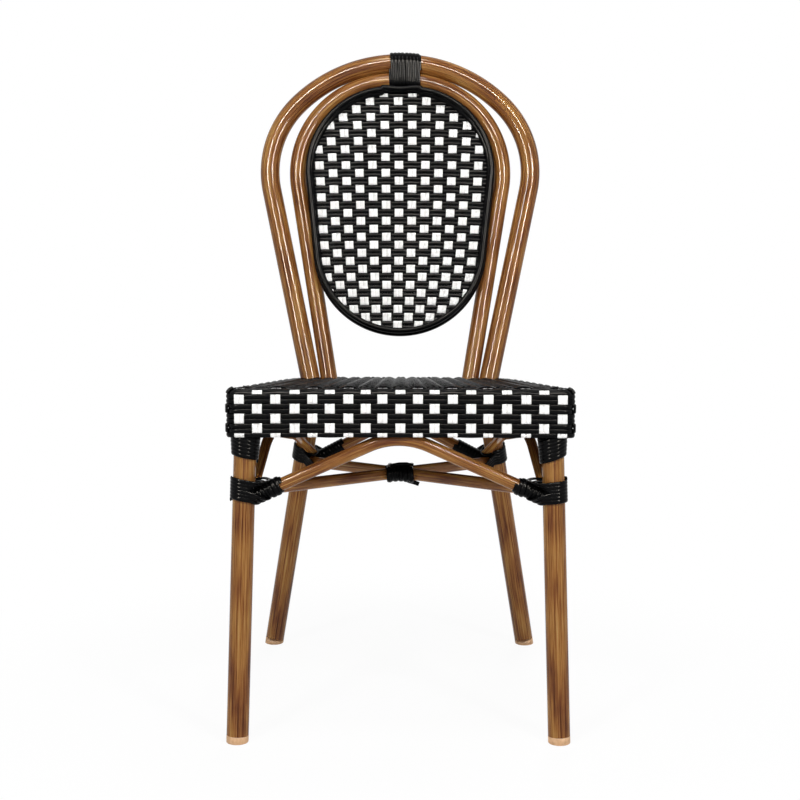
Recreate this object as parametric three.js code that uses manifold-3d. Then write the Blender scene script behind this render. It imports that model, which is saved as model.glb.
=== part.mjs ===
// A woven bistro side chair: bent aluminium tubes, a woven seat and back, and strand bindings.
// Millimetres, +Z up, +X to the chair's left as seen from the front, the sitter faces -Y.

import * as THREE from 'three';
import * as BufferGeometryUtils from 'three/addons/utils/BufferGeometryUtils.js';
import Module from 'manifold-3d';

const wasm = await Module();
wasm.setup();

// Overall frame
const overallDepth = 512.3;
const seatFrontY = -overallDepth / 2;
const rearLegReach = 103.3;
const seatDepth = overallDepth - rearLegReach;
const fitGap = 0.35;
const cutOverrun = 40;

// Tubes
const hoopTubeRadius = 13.9;
const innerTubeRadius = 12.1;
const braceRadius = 8;
const sideArchRadius = 6.5;
const railRadius = 8;
const postRadius = 5;
const hoopSides = 10;
const braceSides = 8;

// Back hoops, drawn in one reclined plane. The outer one sets the width of the chair.
const hoopSeatOverlap = 32;
const backSetback = seatDepth - hoopSeatOverlap;
const backDatumZ = 430;
const reclineDegrees = 12.5;
const outerHoop = { apex: 465.4, topRadius: 211.7, topDegrees: 44.8, shoulderRadius: 142.9, legDegrees: 11.9 };
const outerHalfWidth = hoopHalfWidth(outerHoop);
const hoopApexGap = 26.8;
const hoopSideGap = 41.2;
const innerHoop = { apex: outerHoop.apex - hoopApexGap, topRadius: 220.4, topDegrees: 8, legDegrees: 9.25 };
innerHoop.shoulderRadius = shoulderRadiusFor(innerHoop, outerHalfWidth - hoopSideGap);
const innerHoopEndDrop = 16;

// Rear legs, which run on from the outer hoop
const rearFootSpread = 3.1;
const rearFootX = outerHalfWidth + rearFootSpread;
const rearFootSetback = 14.7;
const rearBendRadius = 60;
const rearBendZ = 402;

// Front legs
const frontFootSpread = 10.6;
const frontFootX = outerHalfWidth + frontFootSpread;
const frontFootSetback = 15;
const frontLegSplay = 12.6;
const frontLegTopX = frontFootX - frontLegSplay;
const frontLegRake = 8;

// Back panel: rim, piping and woven sheet
const rimRadius = 6.2;
const rimHoopOverlap = 0.8;
const rimSideGap = 2.1;
const rimSide = innerHoop.shoulderRadius - innerTubeRadius - rimSideGap;
const rimBottom = 54.4;
const panelLeadTop = 4.5;
const panelLeadBottom = 14.5;
const pipingRadius = 4.3;
const pipingInset = 0.7;
const pipingSides = 6;
const weaveThickness = 5;
const weaveLead = 1;
const bindingRelief = 5.6;
const sheetColumns = 13;
const sheetColumnShare = { low: 0.1316, high: 0.1653 };

// Seat
const seatLegMargin = 26.6;
const seatFrontHalfWidth = frontLegTopX + seatLegMargin;
const seatTaper = 49;
const seatRearHalfWidth = seatFrontHalfWidth - seatTaper;
const frontCornerRadius = 16;
const rearCornerRadius = 50;
const seatTopFrontZ = 450;
const seatFallShare = 0.066;
const seatEdgeRadius = 10;
const apronHeight = 62.5;
const seatColumns = 17;
const seatColumnShare = 0.1018;
const seatColumnPitch = seatFrontHalfWidth * seatColumnShare;
const sideColumns = 16;
const sideColumnPitch = (seatDepth - frontCornerRadius - rearCornerRadius) / sideColumns;
const strandPairWidth = 12;
const weaveReliefDepth = 1.4;
const weaveReliefInset = 24;
const tubeHoleClearance = 1.2;
const railInset = weaveThickness + railRadius + fitGap * 2;
const railBendRadius = 22;
const lowerRailDrop = 49;
const crossBarShares = [0.318, 0.665];
const slatWidth = 24;
const slatThickness = 5;
const postPlaceShares = [0.08, 0.45, 0.74];

// Braces under the seat
const frontArch = { degrees: 24.3, bendRadius: 90 };
const rearArch = { degrees: 27.9, bendRadius: 70 };
const sideArch = {
  frontInset: 7, rearInset: 14, frontZ: 303, rearZ: 311.8,
  apexSetback: 128, apexZ: 378.2, apexBendRadius: 70,
  kneeSetback: 286, kneeZ: 351.8, kneeBendRadius: 160,
};
const stretcherFrontZ = 318;
const stretcherRearZ = 300;

// Glides
const glideHeight = 10;

// Strand that the bindings are wound from
const strandWidth = 4.6;
const strandThickness = 2.6;
const strandLift = 0.75;
const strandSides = 6;
const loopSteps = 16;
const hoopBindingLoops = 9;
const hoopBindingPitch = 5.1;
const hoopBindingShift = 5.5;
const legTopBindingLoops = 4;
const legTopBindingPitch = 5.3;
const legTopBindingDrop = 29.5;
const frontJoint = { above: 3, below: 3, middle: 3.5, towards: 0.7, clusterDegrees: 58 };
const rearJoint = { above: 2, below: 3, middle: 3.5, towards: -0.75, clusterDegrees: 60 };
const jointPitch = 5.4;
const jointPassStep = 6;
const jointPassReach = 19.5;
const jointPassFall = 1.4;
const centreBindingLoops = 5;
const centreBindingPitch = 5.6;

// Finishes
const bamboo = { color: 0x9a6a3c, roughness: 0.35, metalness: 0.2 };
const bareTube = { color: 0x8a6a48, roughness: 0.5, metalness: 0.3 };
const blackStrand = { color: 0x16161a, roughness: 0.45, metalness: 0 };
const checkWeave = { color: 0x3a3a3c, roughness: 0.55, metalness: 0 };
const tanPlastic = { color: 0xcfa57c, roughness: 0.6, metalness: 0 };

const group = new THREE.Group();

function add(name, geometry, finish) {
  const mesh = new THREE.Mesh(geometry, new THREE.MeshStandardMaterial(finish));
  mesh.name = name;
  group.add(mesh);
  return mesh;
}

const degrees = THREE.MathUtils.degToRad;
const vec = (x, y, z) => new THREE.Vector3(x, y, z);
const along = (a, b, share) => a.clone().lerp(b, share);

// Solids for cutting

function solidOf(geometry) {
  const bare = geometry.clone();
  bare.deleteAttribute('normal');
  bare.deleteAttribute('uv');
  const merged = BufferGeometryUtils.mergeVertices(bare);
  return new wasm.Manifold(new wasm.Mesh({
    numProp: 3,
    vertProperties: new Float32Array(merged.attributes.position.array),
    triVerts: new Uint32Array(merged.index.array),
  }));
}

function geometryOf(solid) {
  const mesh = solid.getMesh();
  const geometry = new THREE.BufferGeometry();
  geometry.setAttribute('position', new THREE.BufferAttribute(new Float32Array(mesh.vertProperties), 3));
  geometry.setIndex(new THREE.BufferAttribute(new Uint32Array(mesh.triVerts), 1));
  geometry.computeVertexNormals();
  return geometry;
}

function hullOf(points) {
  return wasm.Manifold.hull(points.map((p) => p.toArray()));
}

function largestPart(solid) {
  return solid.decompose().reduce((best, part) => (part.volume() > best.volume() ? part : best));
}

// Cuts a piece back from its neighbours and keeps the main body.
function cope(geometry, neighbours) {
  const cut = neighbours.reduce((solid, neighbour) => solid.subtract(solidOf(neighbour)), solidOf(geometry));
  return geometryOf(largestPart(cut));
}

// Bent tube routes

class Arc3 extends THREE.Curve {
  constructor(centre, outward, forward, radius, sweep) {
    super();
    Object.assign(this, { centre, outward, forward, radius, sweep });
  }

  getPoint(t, target = new THREE.Vector3()) {
    const angle = this.sweep * t;
    return target.copy(this.centre)
      .addScaledVector(this.outward, this.radius * Math.cos(angle))
      .addScaledVector(this.forward, this.radius * Math.sin(angle));
  }
}

function cornerArc(before, corner, after, radius) {
  const inward = corner.clone().sub(before).normalize();
  const onward = after.clone().sub(corner).normalize();
  const sweep = inward.angleTo(onward);
  const start = corner.clone().addScaledVector(inward, -radius * Math.tan(sweep / 2));
  const toCentre = onward.clone().sub(inward.clone().multiplyScalar(inward.dot(onward))).normalize();
  const centre = start.clone().addScaledVector(toCentre, radius);
  return new Arc3(centre, toCentre.negate(), inward, radius, sweep);
}

function routeOf(curves) {
  const route = new THREE.CurvePath();
  let end = null;
  for (const curve of curves) {
    const start = curve.getPoint(0);
    if (end) route.add(new THREE.LineCurve3(end, start));
    route.add(curve);
    end = curve.getPoint(1);
  }
  return route;
}

// Straight runs joined by bends of the given radii, as a tube bender makes them.
function bentRoute(points, radii) {
  const bends = radii.map((radius, i) => cornerArc(points[i], points[i + 1], points[i + 2], radius));
  const route = new THREE.CurvePath();
  let start = points[0];
  for (const bend of bends) {
    route.add(new THREE.LineCurve3(start, bend.getPoint(0)));
    route.add(bend);
    start = bend.getPoint(1);
  }
  route.add(new THREE.LineCurve3(start, points[points.length - 1]));
  return route;
}

function roundSection(radius, sides) {
  const corners = Array.from({ length: sides }, (_, i) => {
    const angle = (2 * Math.PI * i) / sides;
    return new THREE.Vector2(radius * Math.cos(angle), radius * Math.sin(angle));
  });
  return new THREE.Shape(corners);
}

function tube(route, radius, sides, steps) {
  return new THREE.ExtrudeGeometry(roundSection(radius, sides), { steps, extrudePath: route });
}

function rod(from, to, radius, sides) {
  return tube(new THREE.LineCurve3(from, to), radius, sides, 1);
}

// Leg lines

function frontLegLine(side) {
  return {
    foot: vec(side * frontFootX, seatFrontY + frontFootSetback, 0),
    top: vec(side * frontLegTopX, seatFrontY + frontFootSetback + frontLegRake, railZ(0, lowerRailDrop) - railRadius),
  };
}

function legPointAt(line, z) {
  return along(line.foot, line.top, (z - line.foot.z) / (line.top.z - line.foot.z));
}

// Seat surfaces: one sloping plane carries the weave, the rails and the slats

function seatTopZ(y) {
  return seatTopFrontZ - seatFallShare * (y - seatFrontY);
}

function railZ(setback, drop) {
  return seatTopZ(seatFrontY + setback) - drop;
}

function seatHalfWidth(y, inset) {
  const share = (y - seatFrontY) / seatDepth;
  const lean = Math.hypot(seatDepth, seatFrontHalfWidth - seatRearHalfWidth) / seatDepth;
  return THREE.MathUtils.lerp(seatFrontHalfWidth, seatRearHalfWidth, share) - inset * lean;
}

// Back hoops

const recline = degrees(reclineDegrees);
const backUp = vec(0, Math.sin(recline), Math.cos(recline));
const backAhead = vec(0, -Math.cos(recline), Math.sin(recline));
const backDatum = vec(0, seatFrontY + backSetback, backDatumZ);

function onBack(x, up, ahead = 0) {
  return backDatum.clone().addScaledVector(vec(1, 0, 0), x).addScaledVector(backUp, up).addScaledVector(backAhead, ahead);
}

function backArc(x, up, radius, fromAngle, toAngle) {
  const outward = onBack(Math.sin(fromAngle), Math.cos(fromAngle)).sub(backDatum);
  const forward = onBack(Math.cos(fromAngle), -Math.sin(fromAngle)).sub(backDatum);
  return new Arc3(onBack(x, up), outward, forward, radius, toAngle - fromAngle);
}

function hoopHalfWidth(hoop) {
  return hoop.shoulderRadius + (hoop.topRadius - hoop.shoulderRadius) * Math.sin(THREE.MathUtils.degToRad(hoop.topDegrees));
}

function shoulderRadiusFor(hoop, halfWidth) {
  const share = Math.sin(THREE.MathUtils.degToRad(hoop.topDegrees));
  return (halfWidth - hoop.topRadius * share) / (1 - share);
}

// Left shoulder, top and right shoulder of a hoop, with the line that each leg leaves on.
function hoopArcs(hoop) {
  const top = degrees(hoop.topDegrees);
  const turn = Math.PI / 2 + degrees(hoop.legDegrees);
  const reach = hoop.topRadius - hoop.shoulderRadius;
  const shoulderX = reach * Math.sin(top);
  const shoulderUp = hoop.apex - hoop.topRadius + reach * Math.cos(top);
  return [
    backArc(-shoulderX, shoulderUp, hoop.shoulderRadius, -turn, -top),
    backArc(0, hoop.apex - hoop.topRadius, hoop.topRadius, -top, top),
    backArc(shoulderX, shoulderUp, hoop.shoulderRadius, top, turn),
  ];
}

function hoopLegPoint(hoop, side, up) {
  const arcs = hoopArcs(hoop);
  const end = arcs[2].getPoint(1).sub(backDatum);
  const endUp = end.dot(backUp);
  const x = end.x - (endUp - up) * Math.tan(degrees(hoop.legDegrees));
  return onBack(side * x, up);
}

const rearBendUp = (rearBendZ - backDatumZ) / Math.cos(recline);

function rearLegLine(side) {
  return {
    foot: vec(side * rearFootX, -seatFrontY - rearFootSetback, 0),
    top: hoopLegPoint(outerHoop, side, rearBendUp),
  };
}

function legEnd(line) {
  const axis = line.top.clone().sub(line.foot).normalize();
  return line.foot.clone().addScaledVector(axis, glideHeight);
}

function outerHoopRoute() {
  const arcs = hoopArcs(outerHoop);
  const legs = [-1, 1].map((side) => {
    const line = rearLegLine(side);
    const arc = side < 0 ? arcs[0].getPoint(0) : arcs[2].getPoint(1);
    return { line, arc, bend: cornerArc(arc, line.top, line.foot, rearBendRadius) };
  });
  const [left, right] = legs;
  const leftBend = cornerArc(left.line.foot, left.line.top, left.arc, rearBendRadius);
  return routeOf([
    new THREE.LineCurve3(legEnd(left.line), leftBend.getPoint(0)), leftBend,
    ...arcs,
    right.bend, new THREE.LineCurve3(right.bend.getPoint(1), legEnd(right.line)),
  ]);
}

function innerHoopRoute() {
  const arcs = hoopArcs(innerHoop);
  return routeOf([
    new THREE.LineCurve3(hoopLegPoint(innerHoop, -1, -innerHoopEndDrop), arcs[0].getPoint(0)),
    ...arcs,
    new THREE.LineCurve3(arcs[2].getPoint(1), hoopLegPoint(innerHoop, 1, -innerHoopEndDrop)),
  ]);
}

const outerSteps = 76;
const innerSteps = 42;
const outerTube = (grow) => tube(outerHoopRoute(), hoopTubeRadius + grow, hoopSides, outerSteps);
const innerTube = (grow) => tube(innerHoopRoute(), innerTubeRadius + grow, hoopSides, innerSteps);

function makeHoops() {
  add('outer_hoop', outerTube(0), bamboo);
  add('inner_hoop', innerTube(0), bamboo);
}

// Front legs and glides

const frontTube = (side, grow) => {
  const line = frontLegLine(side);
  return rod(legEnd(line), line.top.clone().setZ(line.top.z - fitGap * 2), hoopTubeRadius + grow, hoopSides);
};

function makeFrontLegs() {
  const rail = railTube(lowerRailDrop, fitGap);
  for (const [side, label] of [[-1, 'right'], [1, 'left']]) {
    add(`front_leg_${label}`, cope(frontTube(side, 0), [rail]), bamboo);
  }
}

function makeGlide(name, line) {
  const axis = line.top.clone().sub(line.foot).normalize();
  const top = legEnd(line).addScaledVector(axis, -fitGap);
  const below = line.foot.clone().addScaledVector(axis, -hoopTubeRadius);
  const floorCut = new THREE.BoxGeometry(cutOverrun * 2, cutOverrun * 2, cutOverrun);
  floorCut.translate(line.foot.x, line.foot.y, -cutOverrun / 2);
  add(name, cope(rod(below, top, hoopTubeRadius, hoopSides * 2), [floorCut]), tanPlastic);
}

function makeGlides() {
  for (const [side, label] of [[-1, 'right'], [1, 'left']]) {
    makeGlide(`front_glide_${label}`, frontLegLine(side));
    makeGlide(`rear_glide_${label}`, rearLegLine(side));
  }
}

// Back panel

const panelHeight = innerHoop.apex - rimBottom;

// How far the panel stands ahead of the hoop plane at a height on the back.
function panelLead(up) {
  return THREE.MathUtils.lerp(panelLeadBottom, panelLeadTop, (up - rimBottom) / panelHeight);
}

// Points of the panel's oval, shrunk by an inset from the rim's outer edge, from the bottom round.
function panelOval(inset, count) {
  const hoopInside = innerTubeRadius - rimHoopOverlap;
  const shoulderX = (innerHoop.topRadius - innerHoop.shoulderRadius) * Math.sin(degrees(innerHoop.topDegrees));
  const shoulderUp = innerHoop.apex - innerHoop.topRadius
    + (innerHoop.topRadius - innerHoop.shoulderRadius) * Math.cos(degrees(innerHoop.topDegrees));
  const topRadius = innerHoop.topRadius - hoopInside - inset;
  const topAngle = degrees(innerHoop.topDegrees);
  const bottomUp = rimBottom + rimSide;
  const slant = Math.atan2(shoulderX, shoulderUp - bottomUp);
  const side = rimSide - inset;
  const oval = new THREE.Path();
  oval.absarc(0, bottomUp, rimSide - inset, -Math.PI / 2, -slant, false);
  oval.absarc(shoulderX, shoulderUp, side, -slant, Math.PI / 2 - topAngle, false);
  oval.absarc(0, innerHoop.apex - innerHoop.topRadius, topRadius, Math.PI / 2 - topAngle, Math.PI / 2 + topAngle, false);
  oval.absarc(-shoulderX, shoulderUp, side, Math.PI / 2 + topAngle, Math.PI + slant, false);
  oval.absarc(0, bottomUp, rimSide - inset, Math.PI + slant, Math.PI * 1.5, false);
  return oval.getSpacedPoints(count).slice(0, count);
}

// A ring of round section whose centre follows the oval, joined in one closed loop.
function ovalRing(inset, ahead, radius, sides, count) {
  const centres = panelOval(inset, count).map((p) => onBack(p.x, p.y, panelLead(p.y) + ahead));
  const rings = centres.map((centre, i) => {
    const tangent = centres[(i + 1) % count].clone().sub(centres[(i + count - 1) % count]).normalize();
    const across = backAhead.clone().addScaledVector(tangent, -backAhead.dot(tangent)).normalize();
    return sectionRing(centre, tangent, across, radius, radius, sides);
  });
  return ringsToGeometry(rings, true);
}

function makeBackPanel() {
  const reliefWidth = hoopBindingLoops * hoopBindingPitch + strandWidth * 2;
  const relief = new THREE.BoxGeometry(reliefWidth, cutOverrun * 2, cutOverrun);
  relief.rotateX(-recline);
  const reliefCentre = onBack(hoopBindingShift, innerHoop.apex - innerTubeRadius - bindingRelief + cutOverrun / 2);
  relief.translate(reliefCentre.x, reliefCentre.y, reliefCentre.z);
  const hoopSpace = innerTube(fitGap);
  const rim = ovalRing(rimRadius, 0, rimRadius, braceSides, 48);
  add('back_panel_rim', cope(rim, [hoopSpace, relief]), blackStrand);
  const pipingAhead = Math.sqrt((rimRadius + pipingRadius + fitGap) ** 2 - pipingInset ** 2);
  const piping = ovalRing(rimRadius + pipingInset, pipingAhead, pipingRadius, pipingSides, 48);
  add('back_piping', piping, blackStrand);
  add('back_weave', makeBackSheet(), checkWeave);
}

// The woven sheet inside the rim. Slots on both faces part its upright strand pairs, which fan out upwards.
function makeBackSheet() {
  const half = weaveThickness / 2;
  const sheet = hullOf(panelOval(rimRadius * 2 + fitGap * 2, 48).flatMap((p) => (
    [-half, half].map((ahead) => onBack(p.x, p.y, panelLead(p.y) + weaveLead + ahead)))));
  const faces = [[-half - cutOverrun, weaveReliefDepth - half], [half - weaveReliefDepth, half + cutOverrun]];
  const edge = panelOval(weaveReliefInset, 192);
  const slots = Array.from({ length: sheetColumns - 1 }, (_, i) => i + 1 - sheetColumns / 2).flatMap((place) => {
    const ups = edge.filter((p) => Math.abs(p.x / sheetPitch(p.y) - place) < 0.25).map((p) => p.y);
    const corners = [Math.min(...ups), Math.max(...ups)].flatMap((up) => [-1, 1].map((side) => (
      [place * sheetPitch(up) + side * (sheetPitch(up) - strandPairWidth) / 2, up, panelLead(up) + weaveLead])));
    return faces.map((face) => hullOf(corners.flatMap(([x, up, lead]) => face.map((ahead) => onBack(x, up, lead + ahead)))));
  });
  return geometryOf(sheet.subtract(wasm.Manifold.union(slots)));
}

function sheetPitch(up) {
  return rimSide * THREE.MathUtils.lerp(sheetColumnShare.low, sheetColumnShare.high, (up - rimBottom) / panelHeight);
}

// Lofted meshes

function sectionRing(centre, tangent, across, halfAcross, halfAlong, sides) {
  const side = new THREE.Vector3().crossVectors(tangent, across);
  return Array.from({ length: sides }, (_, i) => {
    const angle = (2 * Math.PI * i) / sides;
    return centre.clone()
      .addScaledVector(across, halfAcross * Math.cos(angle))
      .addScaledVector(side, halfAlong * Math.sin(angle));
  });
}

function meshOf(points, faces) {
  const geometry = new THREE.BufferGeometry();
  geometry.setAttribute('position', new THREE.Float32BufferAttribute(points.flatMap((p) => [p.x, p.y, p.z]), 3));
  geometry.setIndex(faces.flat());
  geometry.computeVertexNormals();
  return geometry;
}

// Walls between rings of equal count, closed on themselves or capped with a fan at both ends.
function ringsToGeometry(rings, closed) {
  const sides = rings[0].length;
  const points = rings.flat();
  const faces = [];
  const spans = closed ? rings.length : rings.length - 1;
  for (let i = 0; i < spans; i += 1) {
    const here = i * sides;
    const next = ((i + 1) % rings.length) * sides;
    for (let j = 0; j < sides; j += 1) {
      const k = (j + 1) % sides;
      faces.push([here + j, here + k, next + k], [here + j, next + k, next + j]);
    }
  }
  if (!closed) {
    const last = (rings.length - 1) * sides;
    for (let j = 1; j < sides - 1; j += 1) {
      faces.push([0, j + 1, j], [last, last + j, last + j + 1]);
    }
  }
  return meshOf(points, faces);
}

// Seat

// The seat's plan at an inset, anticlockwise from the front left corner, with rounded corners.
function seatPlan(inset, cornerSteps) {
  const frontY = seatFrontY + inset;
  const rearY = seatFrontY + seatDepth - inset;
  const corners = [
    [-seatHalfWidth(frontY, inset), frontY, frontCornerRadius],
    [seatHalfWidth(frontY, inset), frontY, frontCornerRadius],
    [seatHalfWidth(rearY, inset), rearY, rearCornerRadius],
    [-seatHalfWidth(rearY, inset), rearY, rearCornerRadius],
  ].map(([x, y, radius]) => ({ point: vec(x, y, 0), radius: Math.max(radius - inset, weaveThickness / 2) }));
  return corners.flatMap((corner, i) => {
    const before = corners[(i + 3) % 4].point;
    const after = corners[(i + 1) % 4].point;
    return cornerArc(before, corner.point, after, corner.radius).getPoints(cornerSteps);
  });
}

function seatRing(inset, drop, cornerSteps) {
  return seatPlan(inset, cornerSteps).map((p) => vec(p.x, p.y, seatTopZ(p.y) - drop));
}

function makeSeatWeave() {
  const cornerSteps = 7;
  const edgeSteps = 4;
  const outer = seatRing(0, apronHeight, cornerSteps);
  for (let i = 0; i <= edgeSteps; i += 1) {
    const angle = (Math.PI / 2) * (i / edgeSteps);
    const inset = seatEdgeRadius * (1 - Math.cos(angle));
    outer.push(...seatRing(inset, seatEdgeRadius * (1 - Math.sin(angle)), cornerSteps));
  }
  const inner = [weaveThickness, apronHeight + cutOverrun].flatMap((drop) => seatRing(weaveThickness, drop, cornerSteps));
  const shell = hullOf(outer).subtract(hullOf(inner));
  const grooved = geometryOf(shell.subtract(wasm.Manifold.union([...topSlots(), ...apronSlots()])));
  add('seat_weave', cope(grooved, [outerTube(tubeHoleClearance), innerTube(tubeHoleClearance)]), checkWeave);
}

// Slots that part the strand pairs on the seat's top, closer together towards the rear.
function topSlots() {
  const ends = [seatFrontY + weaveReliefInset, seatFrontY + seatDepth - weaveReliefInset];
  return frontSlotPlaces().map((place) => hullOf(slotSides(place, seatColumnPitch).flatMap((x) => (
    ends.flatMap((y) => [weaveReliefDepth, -cutOverrun].map((drop) => (
      vec((x * seatHalfWidth(y, 0)) / seatFrontHalfWidth, y, seatTopZ(y) - drop))))))));
}

// Slots that part the strand pairs on the apron, down the front and both sides.
function apronSlots() {
  const depths = [-weaveReliefDepth, seatEdgeRadius];
  const front = frontSlotPlaces().map((place) => hullOf(slotSides(place, seatColumnPitch).flatMap((x) => (
    depths.flatMap((out) => apronEnds(seatFrontY).map((z) => vec(x, seatFrontY - out, z)))))));
  const sides = sideSlotPlaces().flatMap((place) => [-1, 1].map((side) => (
    hullOf(slotSides(place, sideColumnPitch).flatMap((y) => depths.flatMap((out) => (
      apronEnds(place).map((z) => vec(side * (seatHalfWidth(y, 0) + out), y, z)))))))));
  return [...front, ...sides];
}

function frontSlotPlaces() {
  return Array.from({ length: seatColumns - 1 }, (_, i) => (i + 1 - seatColumns / 2) * seatColumnPitch);
}

function sideSlotPlaces() {
  return Array.from({ length: sideColumns }, (_, i) => seatFrontY + frontCornerRadius + (i + 0.5) * sideColumnPitch);
}

function slotSides(middle, pitch) {
  return [-1, 1].map((edge) => middle + edge * (pitch - strandPairWidth) / 2);
}

function apronEnds(y) {
  return [seatTopZ(y) - seatEdgeRadius, seatTopZ(y) - apronHeight - cutOverrun];
}

// A rail bent round the seat from the middle of the back, where its ends are welded together.
function railRoute(drop) {
  const frontY = seatFrontY + railInset;
  const rearY = seatFrontY + seatDepth - railInset;
  const frontX = seatHalfWidth(frontY, railInset);
  const rearX = seatHalfWidth(rearY, railInset);
  const rearRadius = rearCornerRadius - railInset;
  const at = (x, y) => vec(x, y, seatTopZ(y) - drop);
  return bentRoute(
    [at(fitGap / 2, rearY), at(rearX, rearY), at(frontX, frontY), at(-frontX, frontY), at(-rearX, rearY), at(-fitGap / 2, rearY)],
    [rearRadius, railBendRadius, railBendRadius, rearRadius],
  );
}

const upperRailDrop = weaveThickness + fitGap * 2 + railRadius;
const railSteps = 56;
const railTube = (drop, grow) => tube(railRoute(drop), railRadius + grow, braceSides, railSteps);

function makeSeatRails() {
  const legs = [outerTube(fitGap), innerTube(fitGap)];
  add('seat_upper_rail', cope(railTube(upperRailDrop, 0), legs), bareTube);
  add('seat_lower_rail', cope(railTube(lowerRailDrop, 0), legs), bareTube);
}

function makeSeatBars() {
  const rails = [railTube(lowerRailDrop, fitGap), railTube(upperRailDrop, fitGap)];
  crossBarShares.forEach((share, i) => {
    const setback = share * seatDepth;
    const y = seatFrontY + setback;
    const end = seatHalfWidth(y, railInset);
    const barZ = railZ(setback, lowerRailDrop) - postRadius + fitGap * 2;
    const bar = rod(vec(-end, y, barZ), vec(end, y, barZ), railRadius, braceSides);
    add(`${i ? 'rear' : 'front'}_cross_bar`, cope(bar, rails), bareTube);
    const slat = new THREE.BoxGeometry(end * 2, slatWidth, slatThickness);
    slat.rotateX(-Math.atan(seatFallShare));
    slat.translate(0, y, railZ(setback, weaveThickness + slatThickness / 2 + fitGap * 2));
    add(`${i ? 'rear' : 'front'}_slat`, cope(slat, rails), bareTube);
  });
}

// Short uprights that hold the two rails apart.
function makeRailPosts() {
  for (const [side, label] of [[-1, 'right'], [1, 'left']]) {
    postPlaceShares.forEach((share, i) => {
      const y = seatFrontY + share * seatDepth;
      const x = side * seatHalfWidth(y, railInset);
      const low = vec(x, y, seatTopZ(y) - lowerRailDrop + railRadius + fitGap * 2);
      const high = vec(x, y, seatTopZ(y) - upperRailDrop - railRadius - fitGap * 2);
      add(`rail_post_${label}_${i + 1}`, rod(low, high, postRadius, braceSides), bareTube);
    });
  }
}

// Braces

// An arch whose bent top touches the underside of the lower rail, between two legs.
function archRoute(legLine, shape, setback) {
  const slope = Math.tan(degrees(shape.degrees));
  const apexZ = railZ(setback, lowerRailDrop) - railRadius - fitGap - braceRadius;
  const vertexZ = apexZ + shape.bendRadius * (1 / Math.cos(degrees(shape.degrees)) - 1);
  const leanShare = (legLine(1).foot.x - legLine(1).top.x) / legLine(1).top.z;
  const endZ = (vertexZ - slope * legLine(1).foot.x) / (1 - slope * leanShare);
  const [right, left] = [-1, 1].map((side) => legPointAt(legLine(side), endZ));
  const vertexY = Math.min(left.y, seatFrontY + setback);
  return bentRoute([right, vec(0, vertexY, vertexZ), left], [shape.bendRadius]);
}

function sideArchRoute(side) {
  const front = legPointAt(frontLegLine(side), sideArch.frontZ);
  const rear = legPointAt(rearLegLine(side), sideArch.rearZ);
  front.x -= side * sideArch.frontInset;
  rear.x -= side * sideArch.rearInset;
  const at = (setback, z) => {
    const y = seatFrontY + setback;
    return vec(along(front, rear, (y - front.y) / (rear.y - front.y)).x, y, z);
  };
  return bentRoute(
    [front, at(sideArch.apexSetback, sideArch.apexZ), at(sideArch.kneeSetback, sideArch.kneeZ), rear],
    [sideArch.apexBendRadius, sideArch.kneeBendRadius],
  );
}

const archSteps = 18;
const frontArchTube = (grow) => (
  tube(archRoute(frontLegLine, frontArch, railInset), braceRadius + grow, braceSides, archSteps));
const rearArchTube = (grow) => (
  tube(archRoute(rearLegLine, rearArch, seatDepth - railInset), braceRadius + grow, braceSides, archSteps));
const sideArchTube = (side, grow) => tube(sideArchRoute(side), sideArchRadius + grow, braceSides, archSteps);

function stretcherEnds(side) {
  return [legPointAt(frontLegLine(side), stretcherFrontZ), legPointAt(rearLegLine(-side), stretcherRearZ)];
}

function stretcherCrossing() {
  const [front, rear] = stretcherEnds(1);
  return along(front, rear, front.x / (front.x - rear.x));
}

function makeBraces() {
  const legs = [outerTube(fitGap), frontTube(-1, fitGap), frontTube(1, fitGap)];
  add('front_arch', cope(frontArchTube(0), legs), bamboo);
  add('rear_arch', cope(rearArchTube(0), legs), bamboo);
  const frontAndRear = [frontArchTube(fitGap), rearArchTube(fitGap)];
  const rails = [railTube(lowerRailDrop, fitGap)];
  for (const [side, label] of [[-1, 'right'], [1, 'left']]) {
    add(`side_arch_${label}`, cope(sideArchTube(side, 0), [...legs, ...frontAndRear, ...rails]), bamboo);
  }
  const arches = [...frontAndRear, sideArchTube(-1, fitGap), sideArchTube(1, fitGap)];
  const [frontEnd, rearEnd] = stretcherEnds(1);
  const through = (grow) => rod(frontEnd, rearEnd, braceRadius + grow, braceSides);
  add('long_stretcher', cope(through(0), [...legs, ...arches]), bamboo);
  const crossing = stretcherCrossing();
  stretcherEnds(-1).forEach((end, i) => {
    const half = rod(end, crossing, braceRadius, braceSides);
    add(`${i ? 'rear' : 'front'}_half_stretcher`, cope(half, [...legs, ...arches, through(fitGap)]), bamboo);
  });
}

// Bindings: each is one strand of flat oval section, wound on without a break

function strandGeometry(route) {
  const rings = route.map(({ point, width }, i) => {
    const before = route[Math.max(i - 1, 0)].point;
    const after = route[Math.min(i + 1, route.length - 1)].point;
    const tangent = after.clone().sub(before).normalize();
    const across = width.clone().addScaledVector(tangent, -width.dot(tangent)).normalize();
    return sectionRing(point, tangent, across, strandWidth / 2, strandThickness / 2, strandSides);
  });
  return ringsToGeometry(rings, false);
}

// Least gap between one turn and the turns beside it, measured on the mesh's points.
function leastGap(geometry, stepsPerLoop) {
  const position = geometry.attributes.position;
  const point = (i) => vec(0, 0, 0).fromBufferAttribute(position, i);
  let least = Infinity;
  for (let i = 0; i < position.count; i += 1) {
    for (let j = i + stepsPerLoop * strandSides / 2; j < position.count; j += 1) {
      least = Math.min(least, point(i).distanceTo(point(j)));
    }
  }
  return least;
}

function addBinding(name, route) {
  const geometry = strandGeometry(route);
  console.log(`${name} least gap between turns ${leastGap(geometry, loopSteps).toFixed(2)} mm`);
  add(name, geometry, blackStrand);
}

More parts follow.
